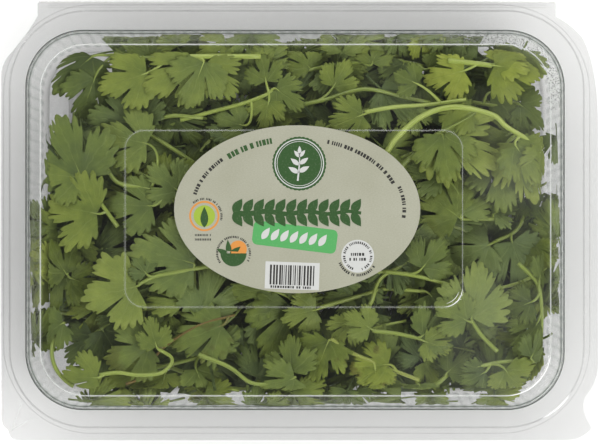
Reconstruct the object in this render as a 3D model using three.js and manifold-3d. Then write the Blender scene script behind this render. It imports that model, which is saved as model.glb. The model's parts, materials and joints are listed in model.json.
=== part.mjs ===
// Cut coriander, packed loose in a clear box whose lid is hinged along the back edge.
// Millimetres, +Z up. The origin is under the middle of the box, on the surface that it stands on,
// +X runs along the long side and +Y points to the hinge. The lid is closed.

import * as THREE from 'three';
import { mergeVertices } from 'three/addons/utils/BufferGeometryUtils.js';
import Module from 'manifold-3d';

const wasm = await Module();
wasm.setup();

// ---- Driving dimensions ----

const RIM_HALF_LENGTH = 115; // the rims of tray and lid, in plan
const RIM_HALF_DEPTH = 84.3;
const TRAY_HEIGHT = 36; // top of the tray's rim
const RIM_GAP = 0.3; // between the two rims when the lid is closed
const LID_TOP = 46.8; // top of the dome, outside
const PANEL_TOP = 48; // top of the raised panel in the dome
const WALL = 0.7;
const FLOOR_RISE = 2; // the middle of the floor stands this far clear of the surface
const FLOOR_SLOPE = 2.5; // width of the slope round the raised middle
const HEEL = [1.2, 2.2]; // bevel at the foot of the tray: out and up
const EDGE = 1.2; // bevel round the dome and its panel
const CORNER_STEPS = 6; // flats round each corner

const LABEL_SIZE = [94.4, 64.4];
const LABEL_CENTRE = [-1, 4.7];
const LABEL_THICKNESS = 0.4;
const LABEL_GAP = 0.3;

const STEM_RADIUS = 1.1;
const STALK_RADIUS = 0.6;
const SHORT_STALK = 2.5; // a stalk shorter than this points as its leaflet does
const STEM_SIDES = 5;
const BLADE = 0.6; // thickness of a leaflet
const LAYER_GAP = 0.95; // kept between one sprig and the ones that it lies on
const WALL_GAP = 1.2; // kept between the leaves and the box
const BEND = 5; // leaves start to bend along a wall this far from it
const SAG_REACH = 7; // a sprig bends to the heap's height evened out over this far each way
const SHADOW_STEP = 0.6; // the faces of a sprig are followed in steps of this size

const TOP_SEED = 20261;
const LOWER_SEED = 5;

// Rounded rectangles in plan: [least x, greatest x, least y, greatest y, corner radius].
const MOUTH = [-105.5, 101.8, -72.4, 73.6, 22];
const DOME_EDGE = [-99.5, 96.2, -66.8, 67.9, 17.5];
const PANEL = [-67.1, 62.5, -32.9, 35, 7.3];
const FOOT = grow(MOUTH, -6.5);
const FLOOR_PANEL = grow(FOOT, -12);

// ---- Seeded draws ----

let seed = TOP_SEED;
function draw(low, high) {
  seed = (seed * 16807) % 2147483647;
  return low + ((high - low) * seed) / 2147483647;
}

// ---- Solids ----

function toManifold(geometry) {
  geometry.deleteAttribute('normal');
  geometry.deleteAttribute('uv');
  const merged = mergeVertices(geometry, 1e-5);
  const vertProperties = new Float32Array(merged.attributes.position.array);
  const triVerts = new Uint32Array(merged.index.array);
  return new wasm.Manifold(new wasm.Mesh({ numProp: 3, vertProperties, triVerts }));
}

function toGeometry(solid) {
  const mesh = solid.getMesh();
  const geometry = new THREE.BufferGeometry();
  geometry.setAttribute('position', new THREE.BufferAttribute(mesh.vertProperties, 3));
  geometry.setIndex(new THREE.BufferAttribute(mesh.triVerts, 1));
  return geometry;
}

function grow([x0, x1, y0, y1, radius], by) {
  return [x0 - by, x1 + by, y0 - by, y1 + by, radius + by * 0.7];
}

// The points of a rounded rectangle, anticlockwise from above.
function ring([x0, x1, y0, y1, radius], z) {
  const corners = [[x1 - radius, y1 - radius], [x0 + radius, y1 - radius], [x0 + radius, y0 + radius],
    [x1 - radius, y0 + radius]];
  const points = [];
  corners.forEach(([x, y], corner) => {
    for (let step = 0; step <= CORNER_STEPS; step += 1) {
      const angle = ((corner + step / CORNER_STEPS) * Math.PI) / 2;
      points.push(new THREE.Vector3(x + radius * Math.cos(angle), y + radius * Math.sin(angle), z));
    }
  });
  return points;
}

// A closed skin through rings of equal length, from a bottom cap to a top cap.
function loft(rings) {
  const count = rings[0].length;
  const index = [];
  for (let level = 0; level + 1 < rings.length; level += 1) {
    for (let side = 0; side < count; side += 1) {
      const a = level * count + side;
      const b = level * count + ((side + 1) % count);
      index.push(a, b, b + count, a, b + count, a + count);
    }
  }
  const last = (rings.length - 1) * count;
  for (let side = 1; side + 1 < count; side += 1) {
    index.push(0, side + 1, side, last, last + side, last + side + 1);
  }
  const geometry = new THREE.BufferGeometry().setFromPoints(rings.flat());
  geometry.setIndex(index);
  return geometry;
}

// ---- The box ----

// The outline of a rim. Only the lid has the pull tab, at its front right corner.
function rimOutline(hasTab) {
  const x = RIM_HALF_LENGTH;
  const y = RIM_HALF_DEPTH;
  const shape = new THREE.Shape();
  shape.moveTo(-101, y);
  shape.lineTo(-101, y - 5);
  shape.lineTo(-105.7, 71.6);
  shape.lineTo(-112.6, 63.4);
  shape.quadraticCurveTo(-x, 60, -x, 56);
  shape.lineTo(-x, -76);
  shape.quadraticCurveTo(-114.6, -79, -112.4, -80.2);
  shape.quadraticCurveTo(-112, -y + 0.6, -109, -y);
  if (hasTab) {
    shape.lineTo(109, -y);
    shape.quadraticCurveTo(113.4, -y, 112.8, -80.4);
    shape.lineTo(110.3, -75.7);
    shape.quadraticCurveTo(107.4, -70, 111.8, -65);
    shape.quadraticCurveTo(x, -60, x, -54);
  } else {
    shape.lineTo(101, -y);
    shape.quadraticCurveTo(x, -y, x, -70);
  }
  shape.lineTo(x, 36);
  shape.quadraticCurveTo(x, 58, 109.4, 70);
  shape.quadraticCurveTo(106, 75, 98.7, 79);
  shape.lineTo(98.7, y);
  shape.closePath();
  return shape;
}

function rimPlate(hasTab, z) {
  const shape = rimOutline(hasTab);
  const hole = ring(grow(MOUTH, -WALL / 2), 0).map((point) => new THREE.Vector2(point.x, point.y));
  shape.holes.push(new THREE.Path(hole.reverse()));
  const plate = new THREE.ExtrudeGeometry(shape, { depth: WALL, bevelEnabled: false, curveSegments: 3 });
  return plate.translate(0, 0, z);
}

function traySolid() {
  const [heelOut, heelUp] = HEEL;
  const shell = loft([
    ring(FLOOR_PANEL, FLOOR_RISE),
    ring(grow(FLOOR_PANEL, FLOOR_SLOPE), 0),
    ring(FOOT, 0),
    ring(grow(FOOT, heelOut), heelUp),
    ring(MOUTH, TRAY_HEIGHT),
    ring(grow(MOUTH, -WALL), TRAY_HEIGHT),
    ring(grow(FOOT, heelOut - WALL), heelUp + WALL / 2),
    ring(grow(FOOT, -WALL), WALL),
    ring(grow(FLOOR_PANEL, FLOOR_SLOPE), WALL),
    ring(FLOOR_PANEL, FLOOR_RISE + WALL),
  ]);
  return toManifold(shell).add(toManifold(rimPlate(false, TRAY_HEIGHT - WALL)));
}

function lidSolid() {
  const under = TRAY_HEIGHT + RIM_GAP;
  const shell = loft([
    ring(grow(PANEL, -EDGE), PANEL_TOP - WALL),
    ring(PANEL, LID_TOP - WALL),
    ring(grow(DOME_EDGE, -EDGE), LID_TOP - WALL),
    ring(grow(DOME_EDGE, -WALL), LID_TOP - WALL - EDGE),
    ring(grow(MOUTH, -WALL), under),
    ring(MOUTH, under),
    ring(DOME_EDGE, LID_TOP - EDGE),
    ring(grow(DOME_EDGE, WALL - EDGE), LID_TOP),
    ring(PANEL, LID_TOP),
    ring(grow(PANEL, -EDGE), PANEL_TOP),
  ]);
  return toManifold(shell).add(toManifold(rimPlate(true, under)));
}

function labelSolid() {
  const shape = new THREE.Shape();
  shape.absellipse(...LABEL_CENTRE, LABEL_SIZE[0] / 2, LABEL_SIZE[1] / 2, 0, Math.PI * 2);
  const settings = { depth: LABEL_THICKNESS, bevelEnabled: false, curveSegments: 20 };
  return toManifold(new THREE.ExtrudeGeometry(shape, settings).translate(0, 0, PANEL_TOP + LABEL_GAP));
}

// The rounded rectangle that the leaves keep to at height z.
function roomAt(z) {
  const mix = (a, b, t) => a.map((value, k) => value + (b[k] - value) * Math.min(Math.max(t, 0), 1));
  if (z < TRAY_HEIGHT) return grow(mix(FOOT, MOUTH, z / TRAY_HEIGHT), -WALL - WALL_GAP);
  return grow(mix(MOUTH, DOME_EDGE, (z - TRAY_HEIGHT) / (LID_TOP - TRAY_HEIGHT)), -WALL - WALL_GAP);
}

// What would pass the wall of the box is bent along it: within BEND of the wall the distance shrinks.
function keepInside(point) {
  const [x0, x1, y0, y1, radius] = roomAt(point.z);
  const x = Math.min(Math.max(point.x, x0 + radius), x1 - radius);
  const y = Math.min(Math.max(point.y, y0 + radius), y1 - radius);
  const out = Math.hypot(point.x - x, point.y - y);
  const depth = radius - out;
  if (depth >= BEND || out === 0) return point;
  const kept = radius - BEND * Math.exp((depth - BEND) / BEND);
  return point.set(x + ((point.x - x) * kept) / out, y + ((point.y - y) * kept) / out, point.z);
}

// ---- A sprig ----

// Half of a leaflet's outline: angle from its rib in degrees, and reach as a share of its length.
// The corners of a side lobe, the deep cut beside it, and the corner of the middle lobe.
const HALF_LEAF = [[82, 0.5], [54, 0.84], [32, 0.4], [15, 0.86]];
const LEAF_MIDDLE = 0.2; // on the rib, where the facets of a blade meet

function radians(degrees) {
  return (degrees * Math.PI) / 180;
}

// A leaflet's outline in its own plane, anticlockwise round its tip: along the rib, across it.
function leafOutline(length, width) {
  const half = HALF_LEAF.map(([angle, reach]) => [Math.cos(radians(angle)) * reach * length,
    Math.sin(radians(angle)) * reach * length * width]);
  const other = half.map(([along, across]) => [along, -across]);
  return [...other, [length, 0], ...half.reverse()];
}

// The axes of a leaflet: along its rib, to its left, and its normal.
function leafAxes({ heading, pitch, roll }) {
  const turn = new THREE.Matrix4().makeRotationZ(heading)
    .multiply(new THREE.Matrix4().makeRotationY(-pitch))
    .multiply(new THREE.Matrix4().makeRotationX(roll));
  const [along, left, normal] = [new THREE.Vector3(), new THREE.Vector3(), new THREE.Vector3()];
  turn.extractBasis(along, left, normal);
  return { along, left, normal };
}

// A leaflet on its stalk, with facets alike on both faces. The flat stalk runs from root, in the stem,
// to foot. The blade droops to its tip and is folded along its rib.
function leaflet(root, foot, leaf) {
  const { along, left, normal } = leafAxes(leaf);
  const { length } = leaf;
  const lead = foot.clone().sub(root);
  const stalkSide = lead.length() < SHORT_STALK ? left.clone() : new THREE.Vector3(-lead.y, lead.x, 0);
  const rootSide = stalkSide.setLength(STALK_RADIUS);
  const footSide = left.clone().add(rootSide).setLength(STALK_RADIUS);
  const onBlade = ([u, v]) => foot.clone().addScaledVector(along, u).addScaledVector(left, v)
    .addScaledVector(normal, (leaf.fold * v * v - leaf.droop * u * u) / length);
  const outline = leafOutline(length, leaf.width).map(onBlade);
  const stalkRight = [root.clone().sub(rootSide), foot.clone().sub(footSide)];
  const stalkLeft = [foot.clone().add(footSide), root.clone().add(rootSide)];
  const plan = [...stalkRight, ...outline, ...stalkLeft, onBlade([LEAF_MIDDLE * length, 0])];
  const face = (offset) => plan.map((point) => point.clone().addScaledVector(normal, offset));
  const top = plan.length;
  const middle = top - 1;
  const last = top - 2;
  const under = [0, last, 1, 1, last, last - 1];
  const over = [0, 1, last, 1, last - 1, last].map((corner) => top + corner);
  const index = [...under, ...over];
  for (let k = 1; k < last; k += 1) {
    const next = k + 1 < last ? k + 1 : 1;
    index.push(middle, next, k, top + middle, top + k, top + next);
  }
  for (let k = 0; k <= last; k += 1) {
    const next = k < last ? k + 1 : 0;
    index.push(k, next, top + next, k, top + next, top + k);
  }
  const geometry = new THREE.BufferGeometry().setFromPoints([...face(-BLADE / 2), ...face(BLADE / 2)]);
  geometry.setIndex(index);
  return geometry;
}

function pathThrough(points) {
  return new THREE.CatmullRomCurve3(points, false, 'catmullrom', 0.5);
}

function stemTube(points) {
  const section = [];
  for (let side = 0; side < STEM_SIDES; side += 1) {
    const angle = (2 * Math.PI * side) / STEM_SIDES;
    section.push(new THREE.Vector2(STEM_RADIUS * Math.cos(angle), STEM_RADIUS * Math.sin(angle)));
  }
  const settings = { steps: points.length, bevelEnabled: false, extrudePath: pathThrough(points) };
  return new THREE.ExtrudeGeometry(new THREE.Shape(section), settings);
}

// Where stalks can leave a stem: just inside its ends, and at equal steps between them.
function rootPlaces(stem) {
  const path = pathThrough(stem);
  const steps = stem.map((point, k) => k / stem.length).slice(1);
  return [0.05, ...steps, 0.95].map((share) => path.getPointAt(share));
}

// A leaflet's stalk leaves the stem at the joint that is near it and that it points away from.
function rootOf(foot, heading, joints) {
  const cost = (joint) => {
    const [x, y] = [foot.x - joint.x, foot.y - joint.y];
    return 2 * Math.hypot(x, y) - x * Math.cos(heading) - y * Math.sin(heading);
  };
  return joints.reduce((best, joint) => (cost(joint) < cost(best) ? joint : best));
}

// The pieces of a sprig as closed geometries: its stem, and each leaflet with its stalk.
function sprigPieces(sprig) {
  const { stem: route, leaves, press, slope = 0 } = sprig;
  const start = new THREE.Vector2(...route[0]);
  const stem = route.map(([x, y]) => new THREE.Vector3(x, y, slope * start.distanceTo({ x, y })));
  const joints = rootPlaces(stem);
  const leaflets = leaves.map(([x, y, heading, length]) => {
    const leaf = {
      length,
      heading: radians(heading),
      width: draw(0.74, 0.9),
      pitch: draw(-0.35, 0.45) * press,
      roll: draw(-0.5, 0.5) * press,
      droop: draw(0.05, 0.3) * press,
      fold: draw(-0.15, 0.4) * press,
    };
    const rise = draw(0, 5) * press;
    const foot = new THREE.Vector3(x, y, 0);
    const root = rootOf(foot, leaf.heading, joints);
    foot.z = root.z + Math.min(rise, foot.distanceTo(root) / 2);
    return leaflet(root, foot, leaf);
  });
  return [stemTube(stem), ...leaflets];
}

// ---- The heap ----

// What lies in the box is kept as a height on a grid of 1 mm cells. The lower layers are laid on the floor.
// The top layers are laid against the lid in the same way, with heights measured downwards: side is -1.
// follow: how closely a sprig bends to the heap that it is laid on.
const CELLS = [2 * RIM_HALF_LENGTH, 2 * Math.ceil(RIM_HALF_DEPTH)];
const onFloor = emptyHeap(1, FLOOR_RISE + WALL, 0.85);
const underLid = emptyHeap(-1, WALL - LID_TOP, 0.9);

function emptyHeap(side, base, follow) {
  return { side, base, follow, heights: new Float64Array(CELLS[0] * CELLS[1]).fill(base) };
}

function cellAt(x, y) {
  const column = Math.min(Math.max(Math.floor(x + CELLS[0] / 2), 0), CELLS[0] - 1);
  const row = Math.min(Math.max(Math.floor(y + CELLS[1] / 2), 0), CELLS[1] - 1);
  return row * CELLS[0] + column;
}

// The heights evened out, which a sprig bends to: the mean over a square, along rows and then columns.
function evenedOut(heights) {
  let field = heights;
  [1, CELLS[0]].forEach((stride) => {
    const means = new Float64Array(field.length);
    for (let cell = 0; cell < field.length; cell += 1) {
      let sum = 0;
      for (let k = -SAG_REACH; k <= SAG_REACH; k += 1) {
        sum += field[Math.min(Math.max(cell + k * stride, 0), field.length - 1)];
      }
      means[cell] = sum / (2 * SAG_REACH + 1);
    }
    field = means;
  });
  return field;
}

// The lowest and highest point of a solid over each cell that it covers, and the cells round them.
function shadow(geometry) {
  const position = geometry.attributes.position;
  const [a, b, c, p] = [0, 1, 2, 3].map(() => new THREE.Vector3());
  const cells = new Map();
  for (let k = 0; k < geometry.index.count; k += 3) {
    [a, b, c].forEach((corner, n) => corner.fromBufferAttribute(position, geometry.index.getX(k + n)));
    const longest = Math.max(a.distanceTo(b), b.distanceTo(c), c.distanceTo(a));
    const steps = Math.ceil(longest / SHADOW_STEP);
    for (let i = 0; i <= steps; i += 1) {
      for (let j = 0; j <= steps - i; j += 1) {
        p.copy(a).multiplyScalar(1 - (i + j) / steps);
        p.addScaledVector(b, i / steps).addScaledVector(c, j / steps);
        for (let n = 0; n < 9; n += 1) {
          const cell = cellAt(p.x + Math.floor(n / 3) - 1, p.y + (n % 3) - 1);
          const span = cells.get(cell);
          if (span) {
            span[0] = Math.min(span[0], p.z);
            span[1] = Math.max(span[1], p.z);
          } else cells.set(cell, [p.z, p.z]);
        }
      }
    }
  }
  return cells;
}

// The pieces joined. A pocket that the join seals counts as a body of less than nothing, and is left out.
function fuse(pieces) {
  const bodies = pieces.map(toManifold).reduce((sum, piece) => sum.add(piece)).decompose();
  return toGeometry(bodies.reduce((best, body) => (body.volume() > best.volume() ? body : best)));
}

function movePoints(geometry, move) {
  const { position } = geometry.attributes;
  const point = new THREE.Vector3();
  for (let k = 0; k < position.count; k += 1) {
    move(point.fromBufferAttribute(position, k));
    position.setXYZ(k, point.x, point.y, point.z);
  }
  return geometry;
}

// A sprig sags on what it is laid on, is bent clear of the box, and is then lowered until it rests.
function laySprig(sprig, { side, base, follow, heights }) {
  const evened = evenedOut(heights);
  const settle = (point) => {
    point.z += side * (base + (evened[cellAt(point.x, point.y)] - base) * follow);
    keepInside(point);
  };
  const geometry = fuse(sprigPieces(sprig).map((piece) => movePoints(piece, settle)));
  const cells = shadow(geometry);
  const below = ([low, high]) => (side > 0 ? low : -high);
  const above = ([low, high]) => (side > 0 ? high : -low);
  let drop = Infinity;
  cells.forEach((span, cell) => {
    drop = Math.min(drop, below(span) - heights[cell] - LAYER_GAP);
  });
  cells.forEach((span, cell) => {
    heights[cell] = Math.max(heights[cell], above(span) - drop);
  });
  return geometry.translate(0, 0, -side * drop);
}

// The lower layers: loose sprigs about these places, each turned and bowed by seeded draws.
// [x, y, press]: press is how far a sprig's own tilts and waves are kept, from 0, pressed flat, to 1.
const LOWER_PLACES = [[-66, -34, 0.85], [-64, 34, 0.85], [0, 32, 0.85], [64, -34, 0.85],
  [62, 30, 0.85], [-34, -30, 0.7], [-52, 24, 0.7], [-50, 42, 0.7], [26, -36, 0.7], [62, -6, 0.7],
  [46, -44, 0.7], [-38, -14, 0.7], [-2, 20, 0.7], [44, 40, 0.7]];

// The leaves of a lower sprig: one at the end of its stem and one on either side, each given by where
// its foot is, along and across the stem from its middle, and by its turn from the stem.
function lowerSprig([x, y, press], place) {
  const heading = draw(-0.6, 0.6) + (draw(0, 1) < 0.5 ? Math.PI : 0);
  const half = draw(22, 28);
  const bow = draw(-6, 6);
  const at = (along, across) => [x + along * Math.cos(heading) - across * Math.sin(heading),
    y + along * Math.sin(heading) + across * Math.cos(heading)];
  const degrees = (heading * 180) / Math.PI;
  const leaves = [[half + 3, bow, 0], [half - 9, bow + 9, 70], [0, -9, -75]];
  return {
    name: `sprig_lower_${place + 1}`,
    press,
    slope: draw(0, 0.08) * press,
    stem: [at(-half, bow), at(0, 0), at(half, bow)],
    leaves: leaves.map(([along, across, turn]) => [...at(along, across),
      degrees + turn + draw(-15, 15), draw(19, 25)]),
  };
}

// The top layers, from the ones laid first to the ones that lie against the lid.
// stem: its points in plan. leaves: [x, y of the leaflet's foot, heading in degrees, length].
// press: how far its own tilts and waves are kept, from 0, pressed flat, to 1.
const TOP_SPRIGS = [
  { name: 'sprig_back_left_corner', press: 0.5, stem: [[-38, 61], [-55, 63], [-65, 63], [-73, 65]],
    leaves: [[-80, 64, -135, 22], [-79, 55, -110, 18]] },
  { name: 'sprig_left_hollow', press: 0.5, stem: [[-40, 22], [-52, 30], [-62, 36]],
    leaves: [[-65, 38, 172, 17], [-61, 38, 98, 15]] },
  { name: 'sprig_left_wall', press: 0.5, stem: [[-84, 2], [-88, -8], [-90, -18]],
    leaves: [[-90, -20, 125, 16], [-91, -21, -115, 15], [-88, -22, -20, 12]] },
  { name: 'sprig_front_left_dark', press: 0.5, stem: [[-64, -34], [-73, -39], [-80, -44]],
    leaves: [[-80, -44, -135, 15], [-76, -42, -60, 14], [-68, -36, 150, 13]] },
  { name: 'sprig_front_left_low', press: 0.5, stem: [[-30, -50], [-45, -54], [-58, -57]],
    leaves: [[-60, -57, -150, 18], [-52, -59, -100, 13], [-40, -57, -70, 13]] },
  { name: 'sprig_front_right_dark', press: 0.5, stem: [[80, -44], [73, -49], [66, -55]],
    leaves: [[66, -56, -165, 18], [62, -49, 170, 16]] },
  { name: 'sprig_front_bottom', press: 0.5, stem: [[57, -59], [48, -66], [36, -62]],
    leaves: [[57, -58, 40, 12], [46, -64, -80, 10], [34, -60, -120, 13]] },
  { name: 'sprig_right_middle_low', press: 0.5, stem: [[89, 8], [84, -3], [75, -8]],
    leaves: [[73, -9, -155, 20], [82, -8, -70, 20]] },
  { name: 'sprig_back_middle', press: 0.5, stem: [[0, 58], [18, 61], [36, 62], [48, 60]],
    leaves: [[4, 59, 130, 13], [16, 60, -60, 13], [28, 61, 75, 12], [40, 61, -110, 14], [50, 59, 25, 13]] },
  { name: 'sprig_front_curl', press: 0.5, stem: [[-88, -66], [-95, -57], [-96, -48], [-92, -41]],
    leaves: [[-91, -39, -150, 13]] },
  { name: 'sprig_front_middle', press: 0.4, stem: [[16, -27], [6, -30], [-2, -32]],
    leaves: [[-3, -33, -116, 23], [-11, -27, 178, 17]] },
  { name: 'sprig_back_stems_left', press: 0.4, stem: [[-4, 44], [10, 47], [25, 51], [40, 48], [50, 46]],
    leaves: [[-5, 43, -170, 14], [13, 52, 60, 12]] },
  { name: 'sprig_right_wall', press: 0.4, stem: [[84, -16], [92, -24], [95, -32], [95, -40], [93, -50]],
    leaves: [[89, -31, -158, 12], [92, -39, -127, 16], [94, -22, 60, 11]] },
  { name: 'sprig_front_right_corner', press: 0.4, stem: [[64, -57], [78, -54], [92, -54]],
    leaves: [[71, -58, -150, 11], [79, -57, -55, 15], [89, -52, 60, 12]] },
  { name: 'sprig_back_right_edge', press: 0.4, stem: [[58, 47], [67, 46], [76, 45], [84, 46]],
    leaves: [[85, 45, -35, 15], [74, 50, 5, 17], [66, 47, 165, 11]] },
  { name: 'sprig_right_middle', press: 0.4, stem: [[76, 1], [69, 1], [62, 1]],
    leaves: [[61, 2, 145, 19], [62, 3, 75, 17], [55, 17, 161, 15], [75, 3, 20, 10]] },
  { name: 'sprig_right_folded', press: 0.4, stem: [[84, 34], [80, 30], [78, 25]],
    leaves: [[78, 24, -88, 21], [85, 30, -75, 24]] },
  { name: 'sprig_bundle_front', press: 0.3, stem: [[8, -33], [22, -29], [33, -26], [48, -27]],
    leaves: [[50, -28, -50, 15], [6, -34, -165, 14]] },
  { name: 'sprig_bundle_cross', press: 0.3, stem: [[20, -38], [27, -32], [31, -22], [41, -16]],
    leaves: [[42, -15, 35, 14], [19, -39, -125, 11]] },
  { name: 'sprig_bundle_back', press: 0.3, stem: [[32, -19], [45, -21], [60, -25]],
    leaves: [[60, -26, -65, 12], [47, -18, 50, 14]] },
  { name: 'sprig_front_right', press: 0.3, stem: [[12, -45], [19, -50], [33, -56], [46, -61]],
    leaves: [[11, -46, -112, 17], [34, -55, -175, 15], [29, -57, -85, 12]] },
  { name: 'sprig_front_stem', press: 0.3, stem: [[28, -42], [37, -43], [46, -45]],
    leaves: [[47, -44, 35, 14], [48, -46, -20, 11], [27, -41, 150, 12]] },
  { name: 'sprig_right_big', press: 0.3, stem: [[76, -50], [70, -44], [66, -38]],
    leaves: [[66, -37, 80, 22], [64, -38, 150, 14]] },
  { name: 'sprig_front_brown', press: 0.3, stem: [[-67, -63], [-60, -59], [-53, -49], [-39, -40], [-25, -36]],
    leaves: [[-30, -40, -158, 21], [-58, -48, -158, 18]] },
  { name: 'sprig_front_pair', press: 0.3, stem: [[-39, -51], [-27, -56], [-17, -63], [-5, -62]],
    leaves: [[-2, -60, -150, 15], [-3, -58, 95, 15]] },
  { name: 'sprig_front_loop', press: 0.3,
    stem: [[-77, -59], [-70, -58], [-62, -59], [-53, -58], [-49, -53], [-54, -49]],
    leaves: [[-78, -60, 178, 14], [-55, -48, 105, 12]] },
  { name: 'sprig_left_middle', press: 0.3, stem: [[-84, 24], [-76, 22], [-70, 15], [-60, 13], [-50, 10]],
    leaves: [[-59, 30, 165, 18], [-47, 12, 140, 15], [-57, 6, 178, 18]] },
  { name: 'sprig_left_big', press: 0.25, stem: [[-70, -2], [-78, 9], [-83, 16]],
    leaves: [[-84, 17, 112, 26], [-85, 17, 174, 16], [-78, 3, 168, 21]] },
  { name: 'sprig_front_left_pale', press: 0.25, stem: [[-34, -17], [-45, -19], [-55, -21], [-62, -24]],
    leaves: [[-63, -25, -166, 22], [-41, -16, 165, 25], [-59, -20, 125, 9]] },
  { name: 'sprig_back_left_cut', press: 0.3, stem: [[-46, 39], [-31, 43], [-20, 46], [-10, 50]],
    leaves: [[-22, 37, 163, 12], [-12, 46, -100, 11], [-9, 51, -35, 13], [-13, 54, 100, 12]] },
  { name: 'sprig_under_arch', press: 0.3, stem: [[38, 20], [46, 28], [53, 34]],
    leaves: [[54, 34, -33, 26], [55, 33, -82, 18], [66, 42, -165, 13]] },
  { name: 'sprig_back_right_corner', press: 0.3, stem: [[57, 62], [66, 61], [74, 60]],
    leaves: [[75, 60, -8, 20], [76, 61, 35, 17], [63, 58, -165, 16]] },
  { name: 'sprig_back_stems_right', press: 0.25, stem: [[25, 42], [36, 44], [50, 45], [64, 47]],
    leaves: [[45, 53, 155, 10], [24, 41, -160, 14]] },
  { name: 'sprig_arch', press: 0.25,
    stem: [[33, 26], [38, 33], [48, 41], [60, 44], [74, 41], [80, 36], [94, 28]],
    leaves: [[94, 27, -105, 14], [83, 29, -55, 18]] },
  { name: 'sprig_back_left_bright', press: 0.25, stem: [[-52, 63], [-35, 64], [-15, 64]],
    leaves: [[-59, 57, -161, 20], [-41, 61, -148, 22], [-37, 61, -110, 19], [-36, 60, -48, 17]] },
];

// ---- Assembly ----

const plastic = { color: 0xe9eeea, roughness: 0.12, metalness: 0, transparent: true, opacity: 0.3 };
const group = new THREE.Group();

function addMesh(name, geometry, material) {
  const mesh = new THREE.Mesh(geometry, new THREE.MeshStandardMaterial(material));
  mesh.name = name;
  group.add(mesh);
}

addMesh('tray', toGeometry(traySolid()), plastic);
addMesh('lid', toGeometry(lidSolid()), plastic);
addMesh('label', toGeometry(labelSolid()), { color: 0xb5b5a0, roughness: 0.55, metalness: 0 });

const green = { color: 0x5f7f3c, roughness: 0.6, metalness: 0 };
seed = TOP_SEED;
[...TOP_SPRIGS].reverse().forEach((sprig) => addMesh(sprig.name, laySprig(sprig, underLid), green));
seed = LOWER_SEED;
LOWER_PLACES.forEach((row, place) => {
  const sprig = lowerSprig(row, place);
  addMesh(sprig.name, laySprig(sprig, onFloor), green);
});

export default group;
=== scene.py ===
# %% [markdown]
# # Cut coriander, packed in a clear hinged box
#
# Loose sprigs of coriander fill a thin clear box, 230 mm long. Its lid folds back on a hinge along
# the far edge, and a paper label lies on the raised panel of the lid.
#
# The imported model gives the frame: the size of the box, where each sprig lies, and the hinge. This
# script adds the looks: leaflets with toothed lobes and veins, round stems, thin fluted plastic and
# the print on the label. Lengths are in millimetres until a mesh is made, as such a box is drawn.

# %% Load the frame
import json
import math

import bmesh
import bpy
import numpy as np
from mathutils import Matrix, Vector

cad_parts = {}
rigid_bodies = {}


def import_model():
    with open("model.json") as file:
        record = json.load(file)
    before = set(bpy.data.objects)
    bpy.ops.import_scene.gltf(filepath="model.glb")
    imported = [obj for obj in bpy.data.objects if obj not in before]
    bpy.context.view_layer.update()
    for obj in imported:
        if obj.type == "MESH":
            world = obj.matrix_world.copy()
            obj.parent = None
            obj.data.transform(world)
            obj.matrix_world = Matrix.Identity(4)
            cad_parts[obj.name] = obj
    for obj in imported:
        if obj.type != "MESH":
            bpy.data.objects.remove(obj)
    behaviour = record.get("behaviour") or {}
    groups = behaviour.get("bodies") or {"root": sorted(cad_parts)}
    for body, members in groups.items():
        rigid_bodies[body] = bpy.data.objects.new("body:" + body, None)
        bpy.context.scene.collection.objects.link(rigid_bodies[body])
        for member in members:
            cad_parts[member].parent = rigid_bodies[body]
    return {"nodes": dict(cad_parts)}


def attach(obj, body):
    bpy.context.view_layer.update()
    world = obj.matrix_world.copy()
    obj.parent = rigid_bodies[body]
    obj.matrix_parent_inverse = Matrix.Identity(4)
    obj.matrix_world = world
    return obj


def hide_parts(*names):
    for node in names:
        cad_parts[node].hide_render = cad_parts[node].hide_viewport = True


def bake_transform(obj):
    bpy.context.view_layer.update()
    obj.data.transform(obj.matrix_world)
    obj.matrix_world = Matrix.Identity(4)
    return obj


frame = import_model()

MM = 0.001
scene = bpy.context.scene
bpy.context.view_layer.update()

# %% [markdown]
# ## The camera
#
# A flat box shows all that it has from straight above. An orthographic camera would do, but a long
# lens far away shows the same and keeps the little perspective that makes the lid's panel stand over
# the rim. The lens follows from the distance and from the width that the view takes in.

# %% The camera
RIM_TOP = 36  # the height at which the view's width is measured
VIEW_WIDTH = 231.2
VIEW_CENTRE = (0.08, -0.19)
CAMERA_HEIGHT = 2500  # above the rim
CLIP_END = 10000

camera_data = bpy.data.cameras.new("camera")
camera_data.lens = camera_data.sensor_width * CAMERA_HEIGHT / VIEW_WIDTH
camera_data.clip_end = CLIP_END * MM
camera = bpy.data.objects.new("camera", camera_data)
camera.location = Vector((*VIEW_CENTRE, RIM_TOP + CAMERA_HEIGHT)) * MM
scene.collection.objects.link(camera)
scene.camera = camera
scene.view_settings.view_transform = "Standard"
print("lens in mm:", round(camera_data.lens))

# %% [markdown]
# ## Small helpers
#
# Colours are written as sRGB hex codes, as a colour picker shows them, and Blender's sockets take
# linear light, so one function turns one into the other. Another adds a node of any kind with its
# settings and its links, which keeps the material cells down to what each material says.

# %% Colours and nodes
def linear(code):
    """An sRGB colour such as "#5f7f3c" as the linear RGBA that a socket takes."""
    values = [int(code[k:k + 2], 16) / 255 for k in (1, 3, 5)]
    return (*[v / 12.92 if v <= 0.04045 else ((v + 0.055) / 1.055) ** 2.4 for v in values], 1)


def add_node(tree, kind, inputs=(), **settings):
    """A new node. inputs, by name or in order: a value to set, or a node or a socket to link from.
    A node stands for its first output."""
    made = tree.nodes.new(kind)
    for setting, value in settings.items():
        setattr(made, setting, value)
    for key, value in (inputs if isinstance(inputs, dict) else dict(enumerate(inputs))).items():
        if isinstance(value, bpy.types.Node):
            value = value.outputs[0]
        if isinstance(value, bpy.types.NodeSocket):
            tree.links.new(value, made.inputs[key])
        else:
            made.inputs[key].default_value = value
    return made


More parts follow.
